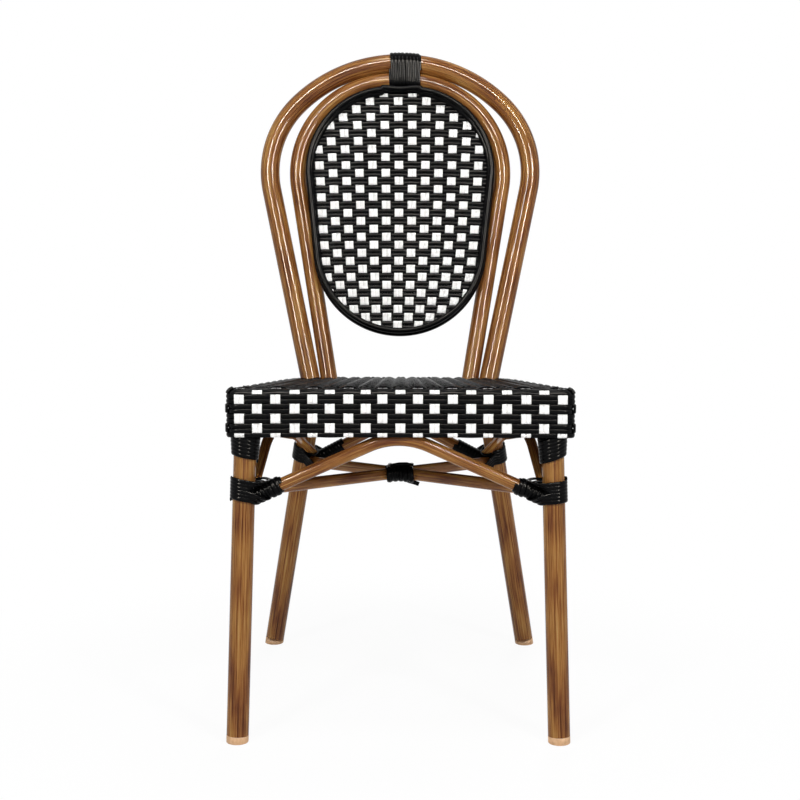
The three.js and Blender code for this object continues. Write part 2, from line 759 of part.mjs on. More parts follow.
const strandOffset = strandLift + strandThickness / 2;

// Point on the hull of two circles, at a share of one turn from the top, going clockwise.
function hullPoint(highRadius, lowRadius, span, share) {
  const lean = Math.asin((highRadius - lowRadius) / span);
  const straight = Math.sqrt(span ** 2 - (highRadius - lowRadius) ** 2);
  const highArc = highRadius * (Math.PI / 2 + lean);
  const lowArc = lowRadius * (Math.PI / 2 - lean);
  const half = highArc + straight + lowArc;
  const mirrored = share > 0.5;
  const travel = (mirrored ? 1 - share : share) * 2 * half;
  const sign = mirrored ? -1 : 1;
  if (travel < highArc) {
    const angle = travel / highRadius;
    return [sign * highRadius * Math.sin(angle), highRadius * Math.cos(angle)];
  }
  if (travel < highArc + straight) {
    const run = travel - highArc;
    const across = highRadius * Math.cos(lean) - run * Math.sin(lean);
    return [sign * across, -highRadius * Math.sin(lean) - run * Math.cos(lean)];
  }
  const angle = (half - travel) / lowRadius;
  return [sign * lowRadius * Math.sin(angle), -span - lowRadius * Math.cos(angle)];
}

function makeHoopBinding() {
  const steps = hoopBindingLoops * loopSteps;
  const route = [];
  for (let i = 0; i <= steps; i += 1) {
    const turn = i / loopSteps;
    const x = hoopBindingShift + (turn - hoopBindingLoops / 2) * hoopBindingPitch;
    const sag = x ** 2 / (2 * outerHoop.topRadius);
    const [ahead, up] = hullPoint(
      hoopTubeRadius + strandOffset, innerTubeRadius + strandOffset, outerHoop.apex - innerHoop.apex, turn % 1);
    route.push({ point: onBack(x, outerHoop.apex - sag + up, ahead), width: vec(1, 0, 0) });
  }
  addBinding('hoop_top_binding', route);
}

// Axes of a leg at a height: along it, towards a plan direction, and across that.
function legFrame(line, z, towards) {
  const origin = legPointAt(line, z);
  const up = line.top.clone().sub(line.foot).normalize();
  const out = towards.clone().addScaledVector(up, -towards.dot(up)).normalize();
  return { origin, up, out, across: new THREE.Vector3().crossVectors(up, out) };
}

function makeLegTopBindings() {
  for (const [side, label] of [[-1, 'right'], [1, 'left']]) {
    const line = frontLegLine(side);
    const frame = legFrame(line, line.top.z - legTopBindingDrop, vec(-side, 0, 0));
    const radius = hoopTubeRadius + strandOffset;
    const route = [];
    for (let i = 0; i <= legTopBindingLoops * loopSteps; i += 1) {
      const turn = i / loopSteps;
      const angle = 2 * Math.PI * turn;
      const point = frame.origin.clone()
        .addScaledVector(frame.out, radius * Math.cos(angle))
        .addScaledVector(frame.across, radius * Math.sin(angle))
        .addScaledVector(frame.up, turn * legTopBindingPitch);
      route.push({ point, width: frame.up });
    }
    addBinding(`leg_top_binding_${label}`, route);
  }
}

// A brace as the leg sees it: how high it starts on the leg and how fast it climbs.
function braceOn(frame, start, onward, radius) {
  const run = onward.clone().sub(start);
  const climb = run.dot(frame.up);
  const reach = Math.sqrt(run.lengthSq() - climb ** 2);
  return { base: start.clone().sub(frame.origin).dot(frame.up), slope: climb / reach, radius };
}

function passHeight(braces, reach, above) {
  const edges = braces.map(({ base, slope, radius }) => {
    const half = (radius + strandOffset) * Math.hypot(1, slope);
    return base + slope * reach + (above ? half : -half);
  });
  return above ? Math.max(...edges) : Math.min(...edges);
}

// Inner passes of a joint binding, from the top down: over the braces, then under them.
function jointPasses(braces, joint) {
  const passes = [];
  for (let i = 0; i < joint.above; i += 1) {
    const reach = jointPassReach + (joint.above - 1 - i) * jointPassStep;
    passes.push({ reach, height: passHeight(braces, reach, true) });
  }
  let ceiling = Infinity;
  for (let i = 0; i < joint.below; i += 1) {
    const reach = jointPassReach + (joint.below - 1 - i) * jointPassStep;
    const height = Math.min(passHeight(braces, reach, false), ceiling);
    passes.push({ reach, height });
    ceiling = height - jointPassFall;
  }
  return passes;
}

// Rounds the leg on its outer side and fans out above and below the braces on its inner side.
function jointBindingRoute(line, jointZ, side, braces, joint) {
  const frame = legFrame(line, jointZ, vec(-side, joint.towards, 0));
  const passes = jointPasses(braces(frame), joint);
  const turns = passes.length;
  const radius = hoopTubeRadius + strandOffset;
  const full = Math.cos(degrees(joint.clusterDegrees));
  const none = Math.cos(degrees(joint.clusterDegrees + 55));
  const route = [];
  for (let i = 0; i <= turns * loopSteps; i += 1) {
    const turn = i / loopSteps;
    const angle = 2 * Math.PI * turn - Math.PI;
    const pass = passes[Math.min(Math.floor(turn), turns - 1)];
    const blend = THREE.MathUtils.smoothstep(Math.cos(angle), none, full);
    const climb = blend ** 2;
    const outerHeight = joint.middle + (turns / 2 - turn) * jointPitch;
    const reach = THREE.MathUtils.lerp(radius, pass.reach, blend);
    const height = THREE.MathUtils.lerp(outerHeight, pass.height, climb);
    const radial = frame.out.clone().multiplyScalar(Math.cos(angle)).addScaledVector(frame.across, Math.sin(angle));
    const width = radial.clone().multiplyScalar(blend * jointPassStep)
      .addScaledVector(frame.up, THREE.MathUtils.lerp(jointPitch, jointPassFall, climb));
    const point = frame.origin.clone().addScaledVector(radial, reach).addScaledVector(frame.up, height);
    route.push({ point, width });
  }
  return route;
}

function makeJointBindings() {
  for (const [side, label] of [[-1, 'right'], [1, 'left']]) {
    const [stretcherFront, farRear] = stretcherEnds(side);
    const [farFront, stretcherRear] = stretcherEnds(-side);
    const frontRoute = archRoute(frontLegLine, frontArch, railInset);
    const rearRoute = archRoute(rearLegLine, rearArch, seatDepth - railInset);
    const sideRoute = sideArchRoute(side);
    const end = side < 0 ? 0 : 1;
    const straight = (route, at) => [route.getPoint(at), route.getPoint(Math.abs(at - 1 / archSteps))];
    const frontBraces = (frame) => [
      braceOn(frame, ...straight(frontRoute, end), braceRadius),
      braceOn(frame, ...straight(sideRoute, 0), sideArchRadius),
      braceOn(frame, stretcherFront, farRear, braceRadius),
    ];
    const rearBraces = (frame) => [
      braceOn(frame, ...straight(rearRoute, end), braceRadius),
      braceOn(frame, ...straight(sideRoute, 1), sideArchRadius),
      braceOn(frame, stretcherRear, farFront, braceRadius),
    ];
    addBinding(`front_joint_binding_${label}`, jointBindingRoute(
      frontLegLine(side), stretcherFrontZ, side, frontBraces, frontJoint));
    addBinding(`rear_joint_binding_${label}`, jointBindingRoute(
      rearLegLine(side), stretcherRearZ, side, rearBraces, rearJoint));
  }
}

// Lashing round the crossing of the stretchers, its loops spreading with the tubes.
function makeCentreBinding() {
  const [front, rear] = stretcherEnds(1);
  const crossing = stretcherCrossing();
  const spread = Math.abs((rear.y - front.y) / (rear.x - front.x));
  const climb = (rear.z - front.z) / (rear.y - front.y);
  const radius = braceRadius + strandOffset;
  const narrow = braceRadius * Math.hypot(1, spread) - braceRadius;
  const route = [];
  for (let i = 0; i <= centreBindingLoops * loopSteps; i += 1) {
    const turn = i / loopSteps;
    const x = (turn - centreBindingLoops / 2) * centreBindingPitch;
    const halfSpan = (Math.abs(x) + strandWidth / 2) * spread + narrow;
    const [z, run] = hullPoint(radius, radius, halfSpan * 2, turn % 1);
    const y = run + halfSpan;
    route.push({ point: crossing.clone().add(vec(x, y, z + climb * y)), width: vec(1, 0, 0) });
  }
  addBinding('centre_binding', route);
}

makeHoops();
makeFrontLegs();
makeGlides();
makeBackPanel();
makeSeatWeave();
makeSeatRails();
makeSeatBars();
makeRailPosts();
makeBraces();
makeHoopBinding();
makeLegTopBindings();
makeJointBindings();
makeCentreBinding();

export default group;
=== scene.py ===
"""The visible surfaces of a woven bistro side chair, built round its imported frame."""

import math

import bpy
import numpy as np
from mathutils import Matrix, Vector


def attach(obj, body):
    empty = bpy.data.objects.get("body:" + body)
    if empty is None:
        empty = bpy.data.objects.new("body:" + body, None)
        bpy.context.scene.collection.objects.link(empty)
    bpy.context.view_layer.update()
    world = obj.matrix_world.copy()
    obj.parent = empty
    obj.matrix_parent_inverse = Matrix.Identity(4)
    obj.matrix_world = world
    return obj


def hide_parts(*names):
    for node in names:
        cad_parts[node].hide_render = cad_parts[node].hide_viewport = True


bl_info = {
    "name": "Woven Bistro Chair",
    "version": (1, 0, 0),
    "blender": (4, 5, 0),
    "location": "View3D > Sidebar > Chair",
    "description": "Tubes, weaves, bindings and glides of a woven bistro side chair",
    "category": "Object",
}

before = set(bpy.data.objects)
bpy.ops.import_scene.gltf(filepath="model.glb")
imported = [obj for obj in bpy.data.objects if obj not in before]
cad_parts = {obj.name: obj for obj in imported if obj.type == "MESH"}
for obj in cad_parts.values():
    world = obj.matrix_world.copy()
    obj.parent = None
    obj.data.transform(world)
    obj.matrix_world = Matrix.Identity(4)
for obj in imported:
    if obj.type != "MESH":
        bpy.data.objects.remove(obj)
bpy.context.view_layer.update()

# Every length below is in millimetres, and a mesh is written in metres.
MM = 0.001
PATH_STEP = 4.0
PIECE_GAP = 0.35

# Seat plan and surfaces
SEAT_FRONT = -256.15
SEAT_DEPTH = 409.0
SEAT_FRONT_HALF = 216.0
SEAT_REAR_HALF = 167.0
FRONT_CORNER = 16.0
REAR_CORNER = 50.0
SEAT_TOP = 450.0
SEAT_FALL = 0.066
SEAT_EDGE = 10.0
APRON_HEIGHT = 62.5
HEM_RADIUS = 3.0
HEM_RISE = 3.65
FRONT_FALL = 1.9
RAIL_INSET = 13.7
LOWER_RAIL_DROP = 49.0
RAIL_RADIUS = 8.0

# Legs
FRONT_FOOT = (202.0, SEAT_FRONT + 15.0)
FRONT_TOP = (189.4, SEAT_FRONT + 23.0)
REAR_FOOT = (194.5, -SEAT_FRONT - 14.7)
REAR_BEND_Z = 402.0
REAR_BEND_RADIUS = 60.0
GLIDE_HEIGHT = 10.0
GLIDE_LEVELS = ((0.0, 12.2), (0.4, 13.2), (1.2, 13.9), (9.2, 14.0), (9.7, 13.8))

# Back hoops, in a plane that leans back
RECLINE = math.radians(12.5)
BACK_DATUM = Vector((0, SEAT_FRONT + 377.0, 430.0))
BACK_UP = Vector((0, math.sin(RECLINE), math.cos(RECLINE)))
BACK_AHEAD = Vector((0, -math.cos(RECLINE), math.sin(RECLINE)))
OUTER_HOOP = {"apex": 465.4, "top": 211.7, "top_turn": 44.8, "shoulder": 142.9, "leg_lean": 11.9}
INNER_HOOP = {"apex": 438.6, "top": 220.4, "top_turn": 8.0, "shoulder": 138.8, "leg_lean": 9.25}
INNER_HOOP_END = -16.0
OUTER_RADIUS = 14.0
INNER_RADIUS = 12.2
BRACE_RADIUS = 8.0
SIDE_ARCH_RADIUS = 6.6

# Back panel
RIM_RADIUS = 6.2
RIM_SIDE = 124.6
RIM_BOTTOM = 54.4
RIM_BOTTOM_RADIUS = 124.6
PANEL_TOP_GAP = 11.3
PANEL_LEAD = (14.5, 4.5)
OVAL_STEP = 3.0
PIPING_INSET = 0.7
RIM_SPREAD = 3.6
PIPING_SPREAD = 6.4
SPREAD_FROM = RIM_BOTTOM + 60
SPREAD_TO = RIM_BOTTOM + 200
APEX_HALF = 22
APEX_SHARE = 0.7
PANEL_MIDDLE = 240
PANEL_REACH = 150
WEAVE_LEAD = 1.0

# Braces
FRONT_ARCH = (24.3, 90.0)
REAR_ARCH = (27.9, 70.0)
SIDE_ARCH = {"front_in": 7.0, "rear_in": 14.0, "front_z": 303.0, "rear_z": 311.8,
             "apex": (128.0, 378.2, 70.0), "knee": (286.0, 351.8, 160.0)}
STRETCHER_FRONT_Z = 318.0
STRETCHER_REAR_Z = 300.0

# Back weave: rows that close up a little towards the bottom and sag at the sides, and columns that fan out
BACK_ROW_TOP = 406.1
BACK_ROW_PITCH = 12.16
BACK_ROW_EASE = 0.0065
BACK_ROW_SAG = 1.1
BACK_ROW_SAG_REACH = 115
BACK_ROWS = range(-1, 30)
BACK_ROW_LEAST = 8
BACK_ROW_TUCK = 1.5
BACK_COLUMNS = range(-7, 8)
BACK_COLUMN_LEAST = 12
WHITE_WIDENING = 1.02
WEFT_WIDENING = 1.03

# Bindings: points on each loop, and how far a strand's middle stands off the tube that it is wound round
LOOP_STEPS = 40
LIFT = 0.75 + 1.3
UNDER_LAYER = -1.2
HOOP_BINDING = {"shift": 6.0, "pitch": 5.2, "parting": 0.6, "sink": 1, "layer_sink": 1.5}
LEG_TOP_DROP = 31.5
LEG_TOP_OUTER = {"start": -1, "lifts": (-0.4, 1.6), "pitch": 5.5, "tilt": -0.25}
LEG_TOP_INNER = {"start": 5, "lifts": (UNDER_LAYER, 0.6), "pitch": 5.3, "tilt": 0.0}
CENTRE_BINDING = {"shift": 3.2, "pitch": 7.4, "layer_pitch": 0.7, "slant": 2.6, "tuck": 2.3}
FRONT_JOINT = {"above": 3, "below": 3, "middle": 1.2, "towards": 0.15, "cluster": 28, "tilt": 0.12}
REAR_JOINT = {"above": 1, "below": 4, "middle": 14.5, "towards": -0.2, "cluster": 30, "tilt": 0.0}
JOINT_PITCH = 4.3
PASS_STEP = 6.5
PASS_REACH = 18.5
PASS_FALL = 1.4
CLUSTER_BLEND = 55
SLEEVE_PITCH = 5
SLEEVE_FACING = Vector((0, -1, 0.3))

# Weaves: half the gap in a pair of strands, the phase at which the seat's top carries on the apron's, the
# last run in which a strand sinks under its neighbours, and factors on the wave heights in the settings
STRAND_GAP = 0.05
TOP_PHASE = 7
COLUMN_TUCK_RUN = 4
ROW_TUCK_RUN = 6
BLACK_UPRIGHT_WAVE = 1.6
TOP_COLUMN_WAVE = 0.9
TOP_ROW_WAVE = 2.8
STRAND_SIDES = 10
EDGING_SIDES = 24

# Seat weave. Where there are two starts or ends, the first is for even columns and the second for odd ones.
RING_COLUMNS = 70
RING_STRANDS = 13
RING_STEPS = RING_COLUMNS * 8
FRONT_COLUMNS = 9
ROW_PITCH = 12.0
UPRIGHT_START = -16
UPRIGHT_END = 84
UPRIGHT_STEP = 1.2
WHITE_ENDS_FRONT = (64.5, 84)
WHITE_ENDS_ROUND = (48, 60)
WHITE_BLACK_LAP = 3
TOP_ROWS = 31
TOP_INSET = 19.8
TOP_COLUMN_STARTS = (-9, 3)
TOP_COLUMN_TAIL = 5
TOP_ROW_TAIL = 6
TOP_ROW_TUCK = 1.4
STRAND_DEPTH = 2.1

# The real seat isn't even: its columns drift along the front, and it stands off the middle and sags at its edges
COLUMN_DRIFT = {"shift": 0.1, "sway": 2.45, "bow": 0.34, "unevenness": 0.63, "beat": 1.96, "beat_start": 0.36,
                "fade_columns": 6}
SEAT_SHIFT = 2.0
SIDE_FALL = 3.5
SIDE_FALL_EASE = 1.5
FRONT_FALL_REACH = 25
HEM_SAG = 0.7

SIDES = ((-1, "right"), (1, "left"))

# Lamps in metres and watts: name, place, width and height, power. The softboxes light the colours. The
# strips light no colour and leave out the seat's top, and show as bright lines on the tubes and strands.
SOFTBOXES = (
    ("key left", (-1.0, -2.1, 2.1), (0.3, 0.3), 25),
    ("key right", (1.1, -2.0, 2.0), (0.3, 0.3), 25),
    ("front", (0.1, -3.0, 0.9), (2.2, 2.2), 10),
    ("top", (0.0, -0.6, 2.6), (0.5, 0.5), 14),
    ("rear", (0.5, 2.3, 1.9), (0.8, 0.8), 24),
)
STRIPS = (
    ("strip left", (-1.43, -1.9, 1.4), (0.22, 1.1), 105),
    ("strip right", (1.43, -1.9, 1.4), (0.22, 1.1), 105),
    ("strip high", (0.0, -1.45, 1.95), (1.6, 0.16), 110),
)
LAMPS_FACE = Vector((0, 0, 0.45))
SEAT_TOP_STRANDS = ("seat_columns", "seat_rows")


# Paths


def smoothstep(value, low, high):
    share = min(1.0, max(0.0, (value - low) / (high - low)))
    return share * share * (3 - 2 * share)


def arc_points(centre, outward, forward, radius, sweep, step):
    """Points along an arc that starts in the outward direction and turns forward."""
    count = max(2, math.ceil(radius * abs(sweep) / step))
    turns = [sweep * i / count for i in range(count + 1)]
    return [centre + radius * (math.cos(a) * outward + math.sin(a) * forward) for a in turns]


def corner_arc(before, corner, after, radius, step):
    """The bend that rounds one corner of a path."""
    inward = (corner - before).normalized()
    onward = (after - corner).normalized()
    sweep = inward.angle(onward)
    start = corner - inward * radius * math.tan(sweep / 2)
    side = (onward - inward * inward.dot(onward)).normalized()
    return arc_points(start + side * radius, -side, inward, radius, sweep, step)


def bent_path(points, radii, step=PATH_STEP):
    """Straight runs joined by bends, as a tube bender makes them."""
    path = [points[0]]
    for i, radius in enumerate(radii):
        path += corner_arc(points[i], points[i + 1], points[i + 2], radius, step)
    return path + [points[-1]]


def on_back(x, up, ahead=0.0):
    """A point of the reclined plane of the back."""
    return BACK_DATUM + Vector((x, 0, 0)) + BACK_UP * up + BACK_AHEAD * ahead


def back_arc(x, up, radius, start, end):
    """An arc in the plane of the back, its angles measured from straight up."""
    outward = Vector((math.sin(start), 0, 0)) + BACK_UP * math.cos(start)
    forward = Vector((math.cos(start), 0, 0)) - BACK_UP * math.sin(start)
    return arc_points(on_back(x, up), outward, forward, radius, end - start, PATH_STEP)


def hoop_arcs(hoop):
    """Both shoulders and the top of a hoop, from right to left."""
    top = math.radians(hoop["top_turn"])
    turn = math.pi / 2 + math.radians(hoop["leg_lean"])
    reach = hoop["top"] - hoop["shoulder"]
    x = reach * math.sin(top)
    centre_up = hoop["apex"] - hoop["top"]
    up = centre_up + reach * math.cos(top)
    return (back_arc(-x, up, hoop["shoulder"], -turn, -top)
            + back_arc(0, centre_up, hoop["top"], -top, top)[1:]
            + back_arc(x, up, hoop["shoulder"], top, turn)[1:])


def hoop_leg_point(hoop, side, up):
    """Where the straight leg of a hoop passes a height in the plane of the back."""
    end = hoop_arcs(hoop)[-1] - BACK_DATUM
    x = end.x - (end.dot(BACK_UP) - up) * math.tan(math.radians(hoop["leg_lean"]))
    return on_back(side * x, up)


def seat_top_z(y):
    return SEAT_TOP - SEAT_FALL * (y - SEAT_FRONT)


def front_leg_line(side):
    """Foot and top of a front leg's axis."""
    top_z = SEAT_TOP - LOWER_RAIL_DROP - RAIL_RADIUS
    return Vector((side * FRONT_FOOT[0], FRONT_FOOT[1], 0)), Vector((side * FRONT_TOP[0], FRONT_TOP[1], top_z))


def rear_leg_line(side):
    """Foot and bend of a rear leg's axis."""
    bend_up = (REAR_BEND_Z - BACK_DATUM.z) / math.cos(RECLINE)
    return Vector((side * REAR_FOOT[0], REAR_FOOT[1], 0)), hoop_leg_point(OUTER_HOOP, side, bend_up)


def point_at(line, z):
    return line[0].lerp(line[1], z / line[1].z)


def leg_start(line):
    """Where a leg's tube begins, on top of its glide."""
    return line[0] + (line[1] - line[0]).normalized() * GLIDE_HEIGHT


def outer_hoop_path():
    """Foot to foot over the top of the back."""
    right, left = rear_leg_line(-1), rear_leg_line(1)
    arcs = hoop_arcs(OUTER_HOOP)
    rise = corner_arc(right[0], right[1], arcs[0], REAR_BEND_RADIUS, PATH_STEP)
    fall = corner_arc(arcs[-1], left[1], left[0], REAR_BEND_RADIUS, PATH_STEP)
    return [leg_start(right)] + rise + arcs + fall + [leg_start(left)]


def inner_hoop_path():
    ends = [hoop_leg_point(INNER_HOOP, side, INNER_HOOP_END) for side in (-1, 1)]
    return [ends[0]] + hoop_arcs(INNER_HOOP) + [ends[1]]


def arch_path(leg_line, shape, setback):
    """An arch between two legs whose top touches the seat's lower rail."""
    angle, radius = math.radians(shape[0]), shape[1]
    rail_under = seat_top_z(SEAT_FRONT + setback) - LOWER_RAIL_DROP - RAIL_RADIUS
    vertex_z = rail_under - PIECE_GAP - BRACE_RADIUS + radius * (1 / math.cos(angle) - 1)
    foot, top = leg_line(1)
    lean = (foot.x - top.x) / top.z
    end_z = (vertex_z - math.tan(angle) * foot.x) / (1 - math.tan(angle) * lean)
    ends = [point_at(leg_line(side), end_z) for side in (-1, 1)]
    vertex = Vector((0, min(ends[1].y, SEAT_FRONT + setback), vertex_z))
    return bent_path([ends[0], vertex, ends[1]], [radius])


def front_arch_path():
    return arch_path(front_leg_line, FRONT_ARCH, RAIL_INSET)


def rear_arch_path():
    return arch_path(rear_leg_line, REAR_ARCH, SEAT_DEPTH - RAIL_INSET)


def side_arch_path(side):
    """From the front joint up to the seat and down to the rear joint."""
    front = point_at(front_leg_line(side), SIDE_ARCH["front_z"])
    rear = point_at(rear_leg_line(side), SIDE_ARCH["rear_z"])
    front.x -= side * SIDE_ARCH["front_in"]
    rear.x -= side * SIDE_ARCH["rear_in"]
    middle = []
    for setback, z, _radius in (SIDE_ARCH["apex"], SIDE_ARCH["knee"]):
        y = SEAT_FRONT + setback
        share = (y - front.y) / (rear.y - front.y)
        middle.append(Vector((front.lerp(rear, share).x, y, z)))
    return bent_path([front, *middle, rear], [SIDE_ARCH["apex"][2], SIDE_ARCH["knee"][2]])


def stretcher_ends(side):
    return point_at(front_leg_line(side), STRETCHER_FRONT_Z), point_at(rear_leg_line(-side), STRETCHER_REAR_Z)


def stretcher_crossing():
    front, rear = stretcher_ends(1)
    return front.lerp(rear, front.x / (front.x - rear.x))


# Guide lines and the node trees that give them a section


def add_node(tree, kind, settings=None, inputs=None):
    """Adds a node, sets its properties, and fills or links its inputs."""
    node = tree.nodes.new(kind)
    for key, value in (settings or {}).items():
        setattr(node, key, value)
    for key, value in (inputs or {}).items():
        if isinstance(value, bpy.types.NodeSocket):
            tree.links.new(value, node.inputs[key])
        else:
            node.inputs[key].default_value = value
    return node


def section_tree(name, flat):
    """A tree that turns guide lines into flat strands, or oval ones and round tubes."""
    tree = bpy.data.node_groups.new(name, "GeometryNodeTree")
    sockets = [("Guides", "NodeSocketGeometry"), ("Width", "NodeSocketFloat"), ("Thickness", "NodeSocketFloat"),
               ("Edge Radius", "NodeSocketFloat"), ("Wave Height", "NodeSocketFloat"),
               ("Sides", "NodeSocketInt"), ("Finish", "NodeSocketMaterial")]
    for label, kind in sockets:
        tree.interface.new_socket(label, in_out="INPUT", socket_type=kind)
    tree.interface.new_socket("Strands", in_out="OUTPUT", socket_type="NodeSocketGeometry")
    given = add_node(tree, "NodeGroupInput").outputs
    stored = {}
    kinds = {"facing": "FLOAT_VECTOR", "lift": "FLOAT", "section": "FLOAT_VECTOR", "along": "FLOAT"}
    for label, kind in kinds.items():
        reader = add_node(tree, "GeometryNodeInputNamedAttribute", {"data_type": kind}, {"Name": label})
        stored[label] = reader.outputs["Attribute"]
    height = add_node(tree, "ShaderNodeMath", {"operation": "MULTIPLY"}, {0: stored["lift"], 1: given["Wave Height"]})
    offset = add_node(tree, "ShaderNodeVectorMath", {"operation": "SCALE"},
                      {0: stored["facing"], "Scale": height.outputs[0]})
    waved = add_node(tree, "GeometryNodeSetPosition", None,
                     {"Geometry": given["Guides"], "Offset": offset.outputs[0]})
    lines = add_node(tree, "GeometryNodeMeshToCurve", None, {"Mesh": waved.outputs[0]})
    turned = add_node(tree, "GeometryNodeSetCurveNormal", {"mode": "FREE"},
                      {"Curve": lines.outputs[0], "Normal": stored["facing"]})
    spline = add_node(tree, "GeometryNodeSplineParameter")
    measured = add_node(tree, "GeometryNodeStoreNamedAttribute", {"data_type": "FLOAT", "domain": "POINT"},
                        {"Geometry": turned.outputs[0], "Name": "along", "Value": spline.outputs["Length"]})
    if flat:
        blank = add_node(tree, "GeometryNodeCurvePrimitiveQuadrilateral", {"mode": "RECTANGLE"},
                         {"Width": given["Thickness"], "Height": given["Width"]})
        outline = add_node(tree, "GeometryNodeFilletCurve", {"mode": "POLY"},
                           {"Curve": blank.outputs[0], "Radius": given["Edge Radius"], "Count": 1})
    else:
        circle = add_node(tree, "GeometryNodeCurvePrimitiveCircle", {"mode": "RADIUS"},
                          {"Resolution": given["Sides"], "Radius": 0.5})
        scale = add_node(tree, "ShaderNodeCombineXYZ", None,
                         {"X": given["Thickness"], "Y": given["Width"], "Z": 1.0})
        outline = add_node(tree, "GeometryNodeTransform", None,
                           {"Geometry": circle.outputs[0], "Scale": scale.outputs[0]})
    place = add_node(tree, "GeometryNodeInputPosition")
    section = add_node(tree, "GeometryNodeStoreNamedAttribute", {"data_type": "FLOAT_VECTOR", "domain": "POINT"},
                       {"Geometry": outline.outputs[0], "Name": "section", "Value": place.outputs[0]})
    swept = add_node(tree, "GeometryNodeCurveToMesh", None,
                     {"Curve": measured.outputs[0], "Profile Curve": section.outputs[0], "Fill Caps": True})
    split = add_node(tree, "ShaderNodeSeparateXYZ", None, {0: stored["section"]})
    joined = add_node(tree, "ShaderNodeCombineXYZ", None,
                      {"X": split.outputs["X"], "Y": split.outputs["Y"], "Z": stored["along"]})
    grained = add_node(tree, "GeometryNodeStoreNamedAttribute", {"data_type": "FLOAT_VECTOR", "domain": "POINT"},
                       {"Geometry": swept.outputs[0], "Name": "grain", "Value": joined.outputs[0]})
    smooth = add_node(tree, "GeometryNodeSetShadeSmooth", None, {"Geometry": grained.outputs[0]})
    real = add_node(tree, "GeometryNodeRealizeInstances", None, {"Geometry": smooth.outputs[0]})
    finished = add_node(tree, "GeometryNodeSetMaterial", None,
                        {"Geometry": real.outputs[0], "Material": given["Finish"]})
    add_node(tree, "NodeGroupOutput", None, {"Strands": finished.outputs[0]})
    return tree


def guide(points, facings, lifts=None, closed=False):
    """One strand's line: its points, which way its flat side faces, and how far it waves."""
    return {"points": points, "facings": facings, "lifts": lifts or [0.0] * len(points), "closed": closed}


def sampled_guide(samples, closed=False):
    """One strand's line from the place, facing and lift at each of its points."""
    points, facings, lifts = (list(column) for column in zip(*samples))
    return guide(points, facings, lifts, closed)


def even_steps(low, high, step):
    """Numbers from low to high, evenly spaced and about a step apart."""
    count = round((high - low) / step)
    return [low + (high - low) * i / count for i in range(count + 1)]


def tucked(wave, to_end, run, depth=1.0):
    """A strand's wave, which sinks to a depth under its neighbours along the last run before its end."""
    return -depth + (wave + depth) * min(1.0, to_end / run)


def wound(points, widths):
    """A guide line for a strand that lies with its given width on what it is wound round."""
    last = len(points) - 1
    facings = [widths[i].cross(points[min(i + 1, last)] - points[max(i - 1, 0)]).normalized()
               for i in range(len(points))]
    return guide(points, facings)


def grow(name, guides, tree, sizes, finish):
    """Runs a tree on guide lines and keeps its result as a plain mesh object."""
    points, edges, facings, lifts = [], [], [], []
    for line in guides:
        first = len(points)
        count = len(line["points"])
        points += [p * MM for p in line["points"]]
        facings += line["facings"]
        lifts += line["lifts"]
        edges += [(first + i, first + i + 1) for i in range(count - 1)]
        if line["closed"]:
            edges.append((first + count - 1, first))
    lines = bpy.data.meshes.new(name + "_guide")
    lines.from_pydata(points, edges, [])
    facing = lines.attributes.new("facing", "FLOAT_VECTOR", "POINT")
    facing.data.foreach_set("vector", [c for f in facings for c in f])
    lines.attributes.new("lift", "FLOAT", "POINT").data.foreach_set("value", lifts)
    carrier = bpy.data.objects.new(name + "_guide", lines)
    bpy.context.scene.collection.objects.link(carrier)
    modifier = carrier.modifiers.new("Section", "NODES")
    modifier.node_group = tree
    given = {**sizes, "Finish": finish}
    for item in tree.interface.items_tree:
        if item.in_out == "INPUT" and item.name in given:
            modifier[item.identifier] = given[item.name]
    graph = bpy.context.evaluated_depsgraph_get()
    mesh = bpy.data.meshes.new_from_object(carrier.evaluated_get(graph))
    carrier.modifiers.remove(modifier)
    bpy.data.objects.remove(carrier)
    mesh.name = name
    return keep(name, mesh)


def strip_lit():
    """The pieces that the strip lamps light."""
    return bpy.data.collections.get("strip_lit_pieces") or bpy.data.collections.new("strip_lit_pieces")


def keep(name, mesh):
    """Puts a finished mesh in the scene as a piece that rides on the frame."""
    piece = bpy.data.objects.new(name, mesh)
    bpy.context.scene.collection.objects.link(piece)
    if not name.startswith(SEAT_TOP_STRANDS):
        strip_lit().objects.link(piece)
    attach(piece, "root")
    return piece


def shared_tree(flat):
    """The tree for flat or for oval sections, built once."""
    name = "Flat Section" if flat else "Oval Section"
    return bpy.data.node_groups.get(name) or section_tree(name, flat)


def tube(name, path, radius, finish, sides=32, closed=False):
    """A round tube along a path in millimetres."""
    facings = [Vector((0, 1, 0))] * len(path)
    sizes = {"Width": 2 * radius * MM, "Thickness": 2 * radius * MM, "Sides": sides}
    return grow(name, [guide(path, facings, None, closed)], shared_tree(False), sizes, finish)


def flat_strands(name, guides, width, thickness, wave, finish):
    """Flat strands along guide lines. Width, thickness and wave are in metres."""
    sizes = {"Width": width, "Thickness": thickness, "Edge Radius": thickness * 0.45, "Wave Height": wave}
    return grow(name, guides, shared_tree(True), sizes, finish)


def oval_strands(name, guides, width, thickness, wave, finish):
    """Strands with a domed face along guide lines. Width, thickness and wave are in metres."""
    sizes = {"Width": width, "Thickness": thickness, "Sides": STRAND_SIDES, "Wave Height": wave}
    return grow(name, guides, shared_tree(False), sizes, finish)


# Materials


def linear(hex_colour):
    """An sRGB hex colour as the linear numbers that Blender's sockets hold."""
    values = [int(hex_colour[i:i + 2], 16) / 255 for i in (1, 3, 5)]
    return [v / 12.92 if v <= 0.04045 else ((v + 0.055) / 1.055) ** 2.4 for v in values] + [1.0]


def new_material(name):
    material = bpy.data.materials.new(name)
    material.use_nodes = True
    material.node_tree.nodes.clear()
    return material, material.node_tree


